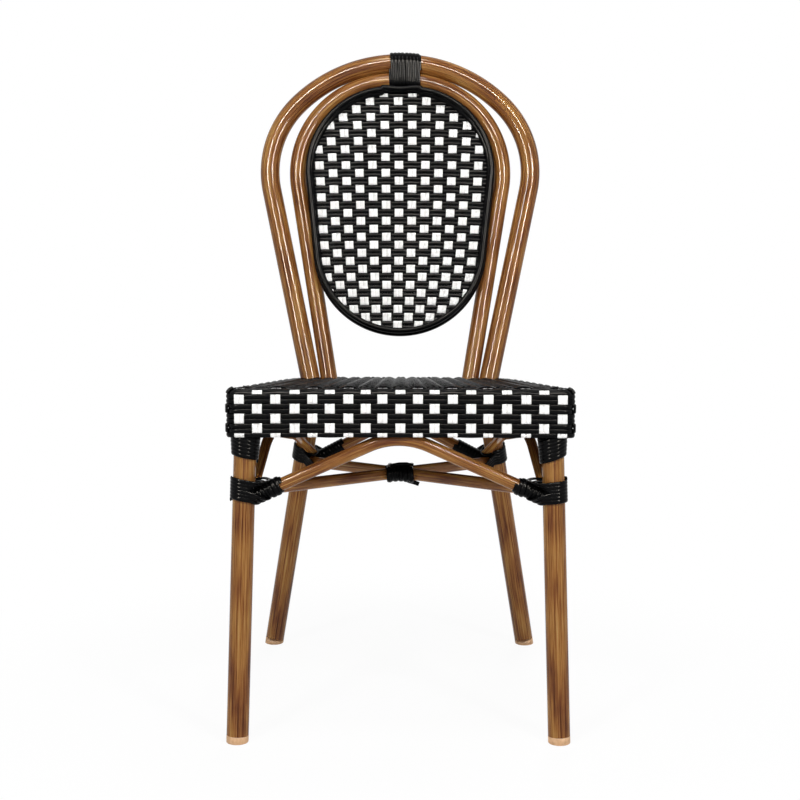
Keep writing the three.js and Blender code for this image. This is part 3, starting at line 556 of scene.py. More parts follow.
def finish_material(tree, surface):
    add_node(tree, "ShaderNodeOutputMaterial", None, {"Surface": surface})


def ramp_colours(node, stops):
    """Sets a colour ramp from places and sRGB colours."""
    ramp = node.color_ramp
    while len(ramp.elements) < len(stops):
        ramp.elements.new(0.5)
    for element, (place, colour) in zip(ramp.elements, stops):
        element.position = place
        element.color = linear(colour)


def patterned_surface(tree, tone, stops, relief, strength, distance, settings):
    """Colours one pattern, raises another, and gives both to the shader."""
    colours = add_node(tree, "ShaderNodeValToRGB", None, {"Fac": tone})
    ramp_colours(colours, stops)
    bump = add_node(tree, "ShaderNodeBump", None, {"Strength": strength, "Distance": distance, "Height": relief})
    shader = add_node(tree, "ShaderNodeBsdfPrincipled", None,
                      {**settings, "Base Color": colours.outputs["Color"], "Normal": bump.outputs["Normal"]})
    finish_material(tree, shader.outputs[0])


def grain_coordinates(tree, per_metre_across, per_metre_along):
    """The tube's own unrolled coordinates, scaled to a pattern's size across and along."""
    grain = add_node(tree, "ShaderNodeAttribute", {"attribute_name": "grain"})
    scaled = add_node(tree, "ShaderNodeMapping", None,
                      {"Vector": grain.outputs["Vector"],
                       "Scale": (per_metre_across, per_metre_across, per_metre_along)})
    return scaled.outputs[0]


def bamboo_lacquer():
    """Aluminium tube with a printed bamboo grain under clear lacquer: long streaks with a sharp gloss."""
    material, tree = new_material("bamboo_print_lacquer")
    # Streaks 1.8 mm across and about 120 mm long, fibres 0.6 mm across, and a slow change of tone.
    streaks = add_node(tree, "ShaderNodeTexNoise", None,
                       {"Vector": grain_coordinates(tree, 550, 8), "Scale": 1.0, "Detail": 4.0, "Roughness": 0.6})
    fibres = add_node(tree, "ShaderNodeTexNoise", None,
                      {"Vector": grain_coordinates(tree, 1600, 30), "Scale": 1.0, "Detail": 3.0, "Roughness": 0.7})
    tone = add_node(tree, "ShaderNodeTexNoise", None,
                    {"Vector": grain_coordinates(tree, 60, 14), "Scale": 1.0, "Detail": 1.0})
    part = add_node(tree, "ShaderNodeMix", {"data_type": "FLOAT"},
                    {"Factor": 0.38, "A": streaks.outputs["Fac"], "B": fibres.outputs["Fac"]})
    whole = add_node(tree, "ShaderNodeMix", {"data_type": "FLOAT"},
                     {"Factor": 0.25, "A": part.outputs["Result"], "B": tone.outputs["Fac"]})
    tones = bpy.context.scene.chair_finish
    stops = [(0.36, "#30160A"), (0.44, tones.bamboo_dark), (0.50, tones.bamboo_mid),
             (0.57, tones.bamboo_light), (0.66, "#B8935A")]
    patterned_surface(tree, whole.outputs["Result"], stops, fibres.outputs["Fac"], 0.06, 0.0003,
                      {"Roughness": 0.45, "Specular IOR Level": 0.0, "Coat Weight": 0.8, "Coat IOR": 1.28,
                       "Coat Roughness": 0.045})
    return material


def strand_material(name, colour, streak_colour, roughness, specular, bump_strength):
    """Extruded polyethylene strand: one colour with fine ribs along it from the die."""
    material, tree = new_material(name)
    # Ribs about 0.8 mm apart, and faint shade changes 60 mm long.
    ribs = add_node(tree, "ShaderNodeTexNoise", None,
                    {"Vector": grain_coordinates(tree, 1200, 20), "Scale": 1.0, "Detail": 2.0})
    shades = add_node(tree, "ShaderNodeTexNoise", None,
                      {"Vector": grain_coordinates(tree, 300, 16), "Scale": 1.0, "Detail": 2.0})
    patterned_surface(tree, shades.outputs["Fac"], [(0.35, colour), (0.65, streak_colour)],
                      ribs.outputs["Fac"], bump_strength, 0.0004,
                      {"Roughness": roughness, "Specular IOR Level": specular})
    return material


def black_strand():
    """Glossy black strand: near-black with a thin bright line where it bends over."""
    tones = bpy.context.scene.chair_finish
    found = bpy.data.materials.get("black_polyethylene_strand")
    return found or strand_material("black_polyethylene_strand", tones.strand_black, "#0B0B0C", 0.2, 0.045, 0.2)


def white_strand():
    """White strand with a satin skin, so that its flat floats look even."""
    tones = bpy.context.scene.chair_finish
    found = bpy.data.materials.get("white_polyethylene_strand")
    return found or strand_material("white_polyethylene_strand", tones.strand_white, "#F4F3F1", 0.55, 0.12, 0.08)


def mottled_material(name, per_metre, detail, colours, strength, distance, roughness):
    """A finish with one fine mottle all over, in its colour and its height."""
    material, tree = new_material(name)
    place = add_node(tree, "ShaderNodeTexCoord")
    mottle = add_node(tree, "ShaderNodeTexNoise", None,
                      {"Vector": place.outputs["Object"], "Scale": per_metre, "Detail": detail})
    patterned_surface(tree, mottle.outputs["Fac"], list(zip((0.3, 0.7), colours)), mottle.outputs["Fac"],
                      strength, distance, {"Roughness": roughness})
    return material


def moulded_plastic():
    """Injection-moulded polypropylene glide: matt, with a faint mottle about 3 mm across."""
    colours = ("#C69A6E", bpy.context.scene.chair_finish.glide_tan)
    return mottled_material("tan_polypropylene", 300.0, 4.0, colours, 0.15, 0.0003, 0.55)


def powder_coat():
    """Powder-coated aluminium tube: brown and satin, with an orange-peel surface about 1.4 mm across."""
    return mottled_material("brown_powder_coat", 700.0, 2.0, ("#4A3320", "#5C412A"), 0.2, 0.0002, 0.45)


# Seat weave


def half_width(y):
    """Half of the seat's width at a depth, to the outside of the weave."""
    return SEAT_FRONT_HALF + (SEAT_REAR_HALF - SEAT_FRONT_HALF) * (y - SEAT_FRONT) / SEAT_DEPTH


class SeatOutline:
    """The seat's edge seen from above, measured round from the middle of the front."""

    def __init__(self):
        rear = SEAT_FRONT + SEAT_DEPTH
        corners = [
            (Vector((SEAT_FRONT_HALF, SEAT_FRONT, 0)), FRONT_CORNER),
            (Vector((SEAT_REAR_HALF, rear, 0)), REAR_CORNER),
            (Vector((-SEAT_REAR_HALF, rear, 0)), REAR_CORNER),
            (Vector((-SEAT_FRONT_HALF, SEAT_FRONT, 0)), FRONT_CORNER),
        ]
        start = Vector((0, SEAT_FRONT, 0))
        places = [start, *[c for c, _ in corners], start]
        path = bent_path(places, [r for _, r in corners], 0.5)
        points = []
        for a, b in zip(path, path[1:]):
            pieces = max(1, math.ceil((b - a).length / 0.5))
            points += [a.lerp(b, i / pieces) for i in range(pieces)]
        points = np.array([p.xy for p in points])
        tangents = np.roll(points, -1, 0) - np.roll(points, 1, 0)
        tangents /= np.linalg.norm(tangents, axis=1)[:, None]
        steps = np.linalg.norm(np.diff(points, axis=0, append=points[:1]), axis=1)
        self.length = float(steps.sum())
        self.distances = np.concatenate([[0], np.cumsum(steps)])
        self.points = np.vstack([points, points[:1]])
        self.outward = np.vstack([tangents, tangents[:1]])[:, [1, 0]] * [1, -1]

    def at(self, distance):
        """Place and outward direction at a distance round the seat."""
        d = distance % self.length
        place = [float(np.interp(d, self.distances, self.points[:, i])) for i in (0, 1)]
        outward = Vector([float(np.interp(d, self.distances, self.outward[:, i])) for i in (0, 1)] + [0])
        return Vector((*place, 0)), outward.normalized()


def edge_fall(x, y):
    """How far the top sinks at its sides and along its front."""
    share = (y - SEAT_FRONT) / SEAT_DEPTH
    fall = SIDE_FALL - SIDE_FALL_EASE * share
    side = smoothstep(share, 0.01, 0.1) * fall * min(1.0, abs(x) / half_width(y)) ** 4
    return max(side, FRONT_FALL * math.exp((SEAT_FRONT - y) / FRONT_FALL_REACH))


def seat_skin(outline, distance, rise):
    """A point of the seat's skin and its facing: under the hem, up the apron, over the edge, onto the top."""
    edge, outward = outline.at(distance)
    fall = edge_fall(edge.x, edge.y)
    straight = APRON_HEIGHT - SEAT_EDGE - fall
    edge_run = math.pi / 2 * SEAT_EDGE
    up = Vector((0, 0, 1))
    if rise < HEM_RISE:
        turn = min((HEM_RISE - rise) / HEM_RADIUS, math.pi)
        inset = HEM_RADIUS * (1 - math.cos(turn))
        tail = max(0, HEM_RISE - rise - HEM_RADIUS * math.pi)
        drop = APRON_HEIGHT - HEM_RISE + HEM_RADIUS * math.sin(turn) - tail
        facing = outward * math.cos(turn) - up * math.sin(turn)
    elif rise < straight:
        inset, drop, facing = 0.0, APRON_HEIGHT - rise, outward
    elif rise < straight + edge_run:
        turn = (rise - straight) / SEAT_EDGE
        inset = SEAT_EDGE * (1 - math.cos(turn))
        drop = fall + SEAT_EDGE * (1 - math.sin(turn))
        facing = outward * math.cos(turn) + up * math.sin(turn)
    else:
        inset = SEAT_EDGE + rise - straight - edge_run
        drop, facing = fall, up
    place = edge - outward * (inset + STRAND_DEPTH * max(0.0, facing.dot(outward)))
    place.x += SEAT_SHIFT
    sag = HEM_SAG * (edge.x / SEAT_FRONT_HALF) ** 2 * math.exp((SEAT_FRONT - edge.y) / FRONT_FALL_REACH)
    place.z = seat_top_z(place.y) - drop - sag - STRAND_DEPTH * facing.z
    return place, facing


def column_place(outline, column):
    """Distance round the seat of a column, which drifts from an even spacing along the front."""
    turn = math.pi * max(-1.0, min(1.0, column / FRONT_COLUMNS))
    fade = max(0.0, min(1.0, 1 - (abs(column) - FRONT_COLUMNS) / COLUMN_DRIFT["fade_columns"]))
    beat = math.sin(COLUMN_DRIFT["beat"] * column + COLUMN_DRIFT["beat_start"])
    drift = (COLUMN_DRIFT["shift"] + COLUMN_DRIFT["sway"] * math.sin(turn) + COLUMN_DRIFT["bow"] * math.cos(turn)
             - COLUMN_DRIFT["unevenness"] * beat)
    return column * outline.length / RING_COLUMNS - drift * fade


def column_phases(outline):
    """Columns and their distances round the seat, to look one up from the other."""
    columns = list(range(-RING_COLUMNS // 2, RING_COLUMNS // 2 + 1))
    return columns, [column_place(outline, c) for c in columns]


def square_wave(phase):
    """A wave with quick crossings and flat crests a little longer than its troughs, 1 at even numbers."""
    return math.tanh(5 * (math.cos(math.pi * phase) + 0.05))


def strand_offsets(width):
    """The two strands of a pair, side by side."""
    return (-width / 2 - STRAND_GAP, width / 2 + STRAND_GAP)


def ring_wefts(outline):
    """Black strands that run round the apron, over its edge and onto the top."""
    columns, distances = column_phases(outline)
    guides = []
    for j in range(RING_STRANDS):
        rise = ROW_PITCH / 4 + ROW_PITCH / 2 * j
        row = math.floor(rise / ROW_PITCH + 0.5)
        samples = []
        for i in range(RING_STEPS):
            distance = outline.length * (i / RING_STEPS - 0.5)
            phase = float(np.interp(distance, distances, columns))
            samples.append((*seat_skin(outline, distance, rise), math.cos(math.pi * (phase + row))))
        guides.append(sampled_guide(samples, True))
    return guides


def ring_warp(outline, column, offset, low, high):
    """An upright strand of the apron between two heights, its upper end tucked under."""
    distance = column_place(outline, column) + offset
    samples = []
    for rise in even_steps(low, high, UPRIGHT_STEP):
        wave = square_wave(rise / ROW_PITCH + 1 - column % 2)
        samples.append((*seat_skin(outline, distance, rise), tucked(wave, high - rise, COLUMN_TUCK_RUN)))
    return sampled_guide(samples)


def apron_warps(outline, width):
    """White uprights all round, and the black ones that take over where the white end."""
    white, black = [], []
    for column in range(-RING_COLUMNS // 2, RING_COLUMNS // 2):
        front = abs(column) <= FRONT_COLUMNS
        change = (WHITE_ENDS_FRONT if front else WHITE_ENDS_ROUND)[column % 2]
        for offset in strand_offsets(width):
            if abs(column) == FRONT_COLUMNS + 1:
                black.append(ring_warp(outline, column, offset, UPRIGHT_START, UPRIGHT_END))
                continue
            white.append(ring_warp(outline, column, offset, UPRIGHT_START, change))
            if not front:
                black.append(ring_warp(outline, column, offset, change - WHITE_BLACK_LAP, UPRIGHT_END))
    return white, black


def top_place(x, y):
    """A point of the seat's top and its facing."""
    facing = Vector((0, SEAT_FALL, 1)).normalized()
    return Vector((x + SEAT_SHIFT, y, seat_top_z(y) - STRAND_DEPTH - edge_fall(x, y))), facing


def top_rows():
    """Where the seat's top field begins and ends, and how far apart its rows are."""
    first = SEAT_FRONT + TOP_INSET
    last = SEAT_FRONT + SEAT_DEPTH - TOP_INSET
    return first, last, (last - first) / TOP_ROWS


def top_columns(outline, width):
    """Pairs of black strands over the seat from front to rear."""
    first, last, row_pitch = top_rows()
    end = last + TOP_COLUMN_TAIL
    guides = []
    for column in range(-FRONT_COLUMNS, FRONT_COLUMNS + 1):
        start = first + TOP_COLUMN_STARTS[column % 2]
        for offset in strand_offsets(width):
            samples = []
            for y in even_steps(start, end, 2):
                x = column_place(outline, column) * half_width(y) / SEAT_FRONT_HALF + offset
                wave = -square_wave(column + TOP_PHASE + (y - first) / row_pitch - 0.5)
                samples.append((*top_place(x, y), tucked(wave, min(y - start, end - y), COLUMN_TUCK_RUN)))
            guides.append(sampled_guide(samples))
    return guides


def top_cross_strands(outline, width):
    """Pairs of black strands over the seat from side to side."""
    first, _last, row_pitch = top_rows()
    columns, distances = column_phases(outline)
    guides = []
    for row in range(TOP_ROWS):
        for offset in strand_offsets(width):
            y = first + row_pitch * (row + 0.5) + offset
            taper = half_width(y) / SEAT_FRONT_HALF
            reach = half_width(y) - TOP_INSET + TOP_ROW_TAIL
            samples = []
            for x in even_steps(-reach, reach, 3):
                phase = float(np.interp(x / taper, distances, columns))
                wave = math.cos(math.pi * (phase + TOP_PHASE + row))
                samples.append((*top_place(x, y), tucked(wave, reach - abs(x), ROW_TUCK_RUN, TOP_ROW_TUCK)))
            guides.append(sampled_guide(samples))
    return guides


# Back panel


def panel_lead(up):
    """How far the panel stands ahead of the hoops' plane."""
    share = (up - RIM_BOTTOM) / (INNER_HOOP["apex"] - RIM_BOTTOM)
    return PANEL_LEAD[0] + (PANEL_LEAD[1] - PANEL_LEAD[0]) * share


def panel_oval(inset):
    """The panel's outline in its plane, shrunk from the rim's outer edge, as (x, up) pairs."""
    top = math.radians(INNER_HOOP["top_turn"])
    reach = INNER_HOOP["top"] - INNER_HOOP["shoulder"]
    centre_up = INNER_HOOP["apex"] - INNER_HOOP["top"]
    x, up = reach * math.sin(top), centre_up + reach * math.cos(top)
    bottom_up = RIM_BOTTOM + RIM_BOTTOM_RADIUS
    slant = math.atan2(x, up - bottom_up)
    arcs = [
        (0, bottom_up, RIM_BOTTOM_RADIUS, -math.pi / 2, -slant),
        (x, up, RIM_SIDE, -slant, math.pi / 2 - top),
        (0, centre_up, INNER_HOOP["top"] - PANEL_TOP_GAP, math.pi / 2 - top, math.pi / 2 + top),
        (-x, up, RIM_SIDE, math.pi / 2 + top, math.pi + slant),
        (0, bottom_up, RIM_BOTTOM_RADIUS, math.pi + slant, math.pi * 1.5),
    ]
    points = []
    for cx, cy, radius, start, end in arcs:
        radius -= inset
        count = max(2, math.ceil(radius * (end - start) / OVAL_STEP))
        for i in range(count):
            angle = start + (end - start) * i / count
            points.append((cx + radius * math.cos(angle), cy + radius * math.sin(angle)))
    return points


def panel_line(inset, ahead, spread):
    """The panel's outline in space, ahead of its surface, and spread outwards round the top but for the apex."""
    places = []
    for x, up in panel_oval(inset):
        share = smoothstep(up, SPREAD_FROM, SPREAD_TO)
        share *= 1 - APEX_SHARE * math.exp(-(x / APEX_HALF) ** 2)
        out = Vector((x, up - RIM_BOTTOM - RIM_BOTTOM_RADIUS)).normalized() * spread * share
        places.append(on_back(x + out.x, up + out.y, panel_lead(up) + ahead))
    return places


def panel_half_width(up, oval):
    """Half of the panel's width at a height, from its outline."""
    crossings = [0.0]
    for (x0, u0), (x1, u1) in zip(oval, oval[1:] + oval[:1]):
        if (u0 - up) * (u1 - up) <= 0 and u0 != u1:
            crossings.append(abs(x0 + (x1 - x0) * (up - u0) / (u1 - u0)))
    return max(crossings)


def column_x(column, up):
    """Where a white pair stands: the pairs lean apart towards the top. The curves follow the real weave."""
    u = (up - PANEL_MIDDLE) / PANEL_REACH
    return -1.5 - 1.3 * u ** 2 + column * (18.71 + 1.65 * u - 0.545 * u ** 2 + 0.74 * u ** 3)


def row_up(row):
    return BACK_ROW_TOP - BACK_ROW_PITCH * row + BACK_ROW_EASE * row ** 2


def row_sag(x):
    """How far a row sinks towards the sides."""
    return BACK_ROW_SAG * (x / BACK_ROW_SAG_REACH) ** 2


def row_phase(up):
    """The row that a height lies on, between rows as a fraction."""
    root = math.sqrt(BACK_ROW_PITCH ** 2 - 4 * BACK_ROW_EASE * (BACK_ROW_TOP - up))
    return (BACK_ROW_PITCH - root) / (2 * BACK_ROW_EASE)


def back_wefts(width, oval):
    """Pairs of black strands across the back."""
    columns = list(range(-9, 10))
    guides = []
    for row in BACK_ROWS:
        for offset in strand_offsets(width):
            up = row_up(row) + offset
            reach = panel_half_width(up, oval)
            if reach < BACK_ROW_LEAST:
                continue
            places = [column_x(column, up) for column in columns]
            samples = []
            for x in even_steps(-reach, reach, 2.2):
                wave = -math.cos(math.pi * (float(np.interp(x, places, columns)) + row))
                samples.append((on_back(x, up - row_sag(x), panel_lead(up) + WEAVE_LEAD), BACK_AHEAD,
                                tucked(wave, reach - abs(x), ROW_TUCK_RUN, BACK_ROW_TUCK)))
            guides.append(sampled_guide(samples))
    return guides


def back_warps(width, oval):
    """Pairs of white strands up the back, which fan out towards the top."""
    heights = even_steps(min(u for _, u in oval), max(u for _, u in oval), 1.5)
    guides = []
    for column in BACK_COLUMNS:
        for offset in strand_offsets(width):
            samples = []
            for up in heights:
                x = column_x(column, up) + offset
                if abs(x) < panel_half_width(up, oval):
                    samples.append((on_back(x, up, panel_lead(up) + WEAVE_LEAD), BACK_AHEAD,
                                    square_wave(column + row_phase(up + row_sag(x)))))
            if len(samples) > BACK_COLUMN_LEAST:
                guides.append(sampled_guide(samples))
    return guides


# Bindings


def hull_point(high, low, span, share):
    """A point on the outline of two circles, at a share of a turn from the top."""
    lean = math.asin((high - low) / span)
    straight = math.sqrt(span ** 2 - (high - low) ** 2)
    high_arc = high * (math.pi / 2 + lean)
    low_arc = low * (math.pi / 2 - lean)
    half = high_arc + straight + low_arc
    sign = -1 if share > 0.5 else 1
    travel = (1 - share if share > 0.5 else share) * 2 * half
    if travel < high_arc:
        angle = travel / high
        return sign * high * math.sin(angle), high * math.cos(angle)
    if travel < high_arc + straight:
        run = travel - high_arc
        return (sign * (high * math.cos(lean) - run * math.sin(lean)),
                -high * math.sin(lean) - run * math.cos(lean))
    angle = (half - travel) / low
    return sign * low * math.sin(angle), -span - low * math.cos(angle)


def loops(start, run, out, radii, length, count, tilt=0.0):
    """Even loops round a straight tube, from one radius to another, their plane tilted if asked."""
    run = run.normalized()
    out = (out - run * out.dot(run)).normalized()
    across = run.cross(out)
    steps = count * LOOP_STEPS
    points = []
    for i in range(steps + 1):
        share = i / steps
        angle = 2 * math.pi * i / LOOP_STEPS
        radius = radii[0] + (radii[1] - radii[0]) * share + LIFT
        radial = out * math.cos(angle) + across * math.sin(angle)
        points.append(start + radial * radius + run * (length * share + tilt * radius * math.cos(angle)))
    return wound(points, [run] * len(points))


def hoop_binding(count, layer):
    """Loops that hold both hoops together at the top of the back. The second layer fills the gaps."""
    lift = LIFT - HOOP_BINDING["sink"] - HOOP_BINDING["layer_sink"] * layer
    points = []
    for i in range(count * LOOP_STEPS + 1):
        turn = i / LOOP_STEPS
        middle = turn - count / 2
        x = (HOOP_BINDING["shift"] + middle * HOOP_BINDING["pitch"]
             + math.tanh(8 * middle) * HOOP_BINDING["parting"] + layer)
        sag = x ** 2 / (2 * OUTER_HOOP["top"])
        ahead, up = hull_point(OUTER_RADIUS + lift, INNER_RADIUS + lift,
                               OUTER_HOOP["apex"] - INNER_HOOP["apex"], (turn + 0.5 - layer / 4) % 1)
        points.append(on_back(x, OUTER_HOOP["apex"] - sag + up, ahead))
    return wound(points, [Vector((1, 0, 0))] * len(points))


class LegFrame:
    """Axes of a leg at a height: up it, towards a plan direction, and across that."""

    def __init__(self, line, z, towards):
        self.origin = point_at(line, z)
        self.up = (line[1] - line[0]).normalized()
        self.out = (towards - self.up * towards.dot(self.up)).normalized()
        self.across = self.up.cross(self.out)

    def radial(self, angle):
        return self.out * math.cos(angle) + self.across * math.sin(angle)

    def brace(self, start, onward):
        """How high a brace starts on the leg, and how fast it climbs away from it."""
        run = onward - start
        climb = run.dot(self.up)
        reach = math.sqrt(run.length_squared - climb ** 2)
        return (start - self.origin).dot(self.up), climb / reach


def leg_top_binding(side, count):
    """Two layers of loops round a front leg just under the apron, the outer one slanting."""
    line = front_leg_line(side)
    leg = LegFrame(line, line[1].z - LEG_TOP_DROP, Vector((-side, 0, 0)))
    guides = []
    for layer, pitches, turns in ((LEG_TOP_OUTER, count + 1, count + 2), (LEG_TOP_INNER, count, count)):
        radii = [OUTER_RADIUS + lift for lift in layer["lifts"]]
        guides.append(loops(leg.origin + leg.up * layer["start"], leg.up, leg.out, radii,
                            pitches * layer["pitch"], turns, layer["tilt"]))
    return guides


def joint_passes(base, slope, joint):
    """Reach and height of each inner pass from the top down: over the brace, then under it."""
    half = (BRACE_RADIUS + LIFT) * math.hypot(1, slope)
    passes = []
    for i in range(joint["above"]):
        reach = PASS_REACH + (joint["above"] - 1 - i) * PASS_STEP
        passes.append((reach, base + slope * reach + half))
    ceiling = math.inf
    for i in range(joint["below"]):
        reach = PASS_REACH + (joint["below"] - 1 - i) * PASS_STEP
        height = min(base + slope * reach - half, ceiling)
        passes.append((reach, height))
        ceiling = height - PASS_FALL
    return passes


def joint_binding(line, z, side, brace, joint):
    """Rounds a leg on its outer side and fans out above and below a brace."""
    leg = LegFrame(line, z, Vector((-side, joint["towards"], 0)))
    passes = joint_passes(*leg.brace(*brace), joint)
    turns = len(passes)
    radius = OUTER_RADIUS + LIFT
    full = math.cos(math.radians(joint["cluster"]))
    none = math.cos(math.radians(joint["cluster"] + CLUSTER_BLEND))
    points, widths = [], []
    for i in range(turns * LOOP_STEPS + 1):
        turn = i / LOOP_STEPS
        angle = 2 * math.pi * turn - math.pi
        reach, height = passes[min(int(turn), turns - 1)]
        blend = smoothstep(math.cos(angle), none, full)
        climb = blend ** 2
        outer = joint["middle"] + (turns / 2 - turn) * JOINT_PITCH - joint["tilt"] * radius * math.cos(angle)
        radial = leg.radial(angle)
        points.append(leg.origin + radial * (radius + (reach - radius) * blend)
                      + leg.up * (outer + (height - outer) * climb))
        widths.append(radial * (blend * PASS_STEP) + leg.up * (JOINT_PITCH + (PASS_FALL - JOINT_PITCH) * climb))
    return wound(points, widths)


def leg_sleeve(line, z, side, joint):
    """A thinner layer on the leg under the joint's strands."""
    leg = LegFrame(line, z, Vector((-side, 0, 0)))
    turns = joint["above"] + joint["below"]
    low = joint["middle"] - (turns / 2 - 0.5) * JOINT_PITCH
    radii = (OUTER_RADIUS + UNDER_LAYER, OUTER_RADIUS + UNDER_LAYER)
    return loops(leg.origin + leg.up * low, leg.up, leg.out, radii, (turns - 1) * JOINT_PITCH, turns, -joint["tilt"])


def brace_sleeve(path, radius, start, length, rise):
    """Loops on the straight end of a brace, from a distance along it and over a length."""
    run = (path[1] - path[0]).normalized()
    radii = (radius + rise, radius + rise)
    return loops(path[0] + run * start, run, SLEEVE_FACING, radii, length, round(length / SLEEVE_PITCH))


def front_joint_binding(side):
    front, far = stretcher_ends(side)
    arch = front_arch_path()[::-side]
    line = front_leg_line(side)
    return [
        joint_binding(line, STRETCHER_FRONT_Z, side, arch[:2], FRONT_JOINT),
        leg_sleeve(line, STRETCHER_FRONT_Z, side, FRONT_JOINT),
        brace_sleeve(arch, BRACE_RADIUS, 12, 40, UNDER_LAYER),
        brace_sleeve(arch, BRACE_RADIUS, 37, 12, 0.4),
        brace_sleeve([front, far], BRACE_RADIUS, 12, 34, UNDER_LAYER),
        brace_sleeve(side_arch_path(side), SIDE_ARCH_RADIUS, 10, 10, UNDER_LAYER),
    ]


def rear_joint_binding(side):
    arch = rear_arch_path()[::-side]
    line = rear_leg_line(side)
    return [
        joint_binding(line, STRETCHER_REAR_Z, side, arch[:2], REAR_JOINT),
        leg_sleeve(line, STRETCHER_REAR_Z, side, REAR_JOINT),
        brace_sleeve(arch, BRACE_RADIUS, 10, 60, -1.0),
    ]


def centre_binding(count, layer):
    """Loops round the crossing of the stretchers, wider as the tubes part."""
    front, rear = stretcher_ends(1)
    crossing = stretcher_crossing()
    spread = abs((rear.y - front.y) / (rear.x - front.x))
    climb = (rear.z - front.z) / (rear.y - front.y)
    radius = BRACE_RADIUS + LIFT + UNDER_LAYER * layer
    narrow = BRACE_RADIUS * math.hypot(1, spread) - BRACE_RADIUS
    pitch = CENTRE_BINDING["pitch"] - CENTRE_BINDING["layer_pitch"] * layer
    points = []
    for i in range(count * LOOP_STEPS + 1):
        turn = i / LOOP_STEPS
        slant = CENTRE_BINDING["slant"] * (1 - layer) * math.cos(2 * math.pi * turn)
        x = CENTRE_BINDING["shift"] + (turn - count / 2) * pitch + slant
        half_span = (abs(x) + CENTRE_BINDING["tuck"]) * spread + narrow
        z, run = hull_point(radius, radius, half_span * 2, turn % 1)
        y = run + half_span
        points.append(crossing + Vector((x, y, z + climb * y)))
    return wound(points, [Vector((1, 0, 0))] * len(points))


def centre_tails():
    """The strand's loose end below the knot, and a slack loop that bridges its top."""
    crossing = stretcher_crossing()
    tail = [(9, -13, -7.5), (14, -14, -9.5), (20, -14, -11), (27, -13.5, -13.6)]
    bridge = [(-19, -8, 8.0), (-10, -8, 10.8), (0, -8, 12.6), (10, -8, 12.8), (19, -8, 10.5)]
    return [wound([crossing + Vector(p) for p in route], [Vector((0, 0, 1))] * len(route))
            for route in (tail, bridge)]


# Glides and studio


def glide_mesh(line, finish):
    """A short plug on the leg's axis, cut level at the floor, with softened edges."""
    foot, top = line
    axis = (top - foot).normalized()
    side = axis.cross(Vector((0, 1, 0))).normalized()
    ahead = side.cross(axis)
    count = 48
    points = []
    for height, radius in GLIDE_LEVELS:
        for i in range(count):
            angle = 2 * math.pi * i / count
            place = foot + radius * (side * math.cos(angle) + ahead * math.sin(angle))
            if height < GLIDE_HEIGHT / 2:
                place -= axis * ((place.z - height) / axis.z)
            else:
                place += axis * height
            points.append(place * MM)
    top_ring = len(points) - count
    faces = [(i, i - i % count + (i + 1) % count, i - i % count + (i + 1) % count + count, i + count)
             for i in range(top_ring)]
    faces.append(tuple(range(count))[::-1])
    faces.append(tuple(range(top_ring, len(points))))
    mesh = bpy.data.meshes.new("glide")
    mesh.from_pydata(points, [], faces)
    mesh.materials.append(finish)
    mesh.shade_smooth()
    return mesh


def direct_rays(tree):
    """1 for the rays that show the backdrop: camera, glossy and transmission rays."""
    path = add_node(tree, "ShaderNodeLightPath")
    first = add_node(tree, "ShaderNodeMath", {"operation": "MAXIMUM"},
                     {0: path.outputs["Is Camera Ray"], 1: path.outputs["Is Glossy Ray"]})
    both = add_node(tree, "ShaderNodeMath", {"operation": "MAXIMUM"},
                    {0: first.outputs[0], 1: path.outputs["Is Transmission Ray"]})
    return both.outputs[0]


def floor_material():
    """Matt white studio floor that keeps the chair's shadow and turns pure white away from it."""
    material, tree = new_material("white_studio_floor")
    place = add_node(tree, "ShaderNodeNewGeometry")
    away = add_node(tree, "ShaderNodeVectorMath", {"operation": "LENGTH"}, {0: place.outputs["Position"]})
    plain = add_node(tree, "ShaderNodeMapRange", {"interpolation_type": "SMOOTHSTEP"},
                     {"Value": away.outputs["Value"], "From Min": 0.3, "From Max": 0.8, "To Min": 0.94,
                      "To Max": 1.0})
    matt = add_node(tree, "ShaderNodeBsdfDiffuse", None, {"Color": linear("#F7F7F7")})
    white = add_node(tree, "ShaderNodeEmission", None, {"Color": linear("#FFFFFF"), "Strength": 1.0})
    share = add_node(tree, "ShaderNodeMath", {"operation": "MULTIPLY"},
                     {0: direct_rays(tree), 1: plain.outputs["Result"]})
    mixed = add_node(tree, "ShaderNodeMixShader", None,
                     {"Fac": share.outputs[0], 1: matt.outputs[0], 2: white.outputs[0]})
    finish_material(tree, mixed.outputs[0])
    return material


def light_world(scene):
    """A white backdrop and a plain soft fill from all round."""
    world = bpy.data.worlds.new("studio")
    scene.world = world
    world.use_nodes = True
    tree = world.node_tree
    tree.nodes.clear()
    fill = add_node(tree, "ShaderNodeBackground", None, {"Color": linear("#FFFFFF"), "Strength": 0.22})
    backdrop = add_node(tree, "ShaderNodeBackground", None, {"Color": linear("#FFFFFF"), "Strength": 1.0})
    mixed = add_node(tree, "ShaderNodeMixShader", None,
                     {"Fac": direct_rays(tree), 1: fill.outputs[0], 2: backdrop.outputs[0]})
    add_node(tree, "ShaderNodeOutputWorld", None, {"Surface": mixed.outputs[0]})


def add_lamp(scene, name, place, size, power):
    """A rectangular lamp that faces the chair. Returns its object."""
    lamp = bpy.data.lights.new(name, "AREA")
    lamp.shape = "RECTANGLE"
    lamp.size, lamp.size_y = size
    lamp.energy = power
    holder = bpy.data.objects.new(name, lamp)
    holder.location = place
    holder.rotation_euler = (LAMPS_FACE - place).to_track_quat("-Z", "Y").to_euler()
    scene.collection.objects.link(holder)
    return holder


# Settings


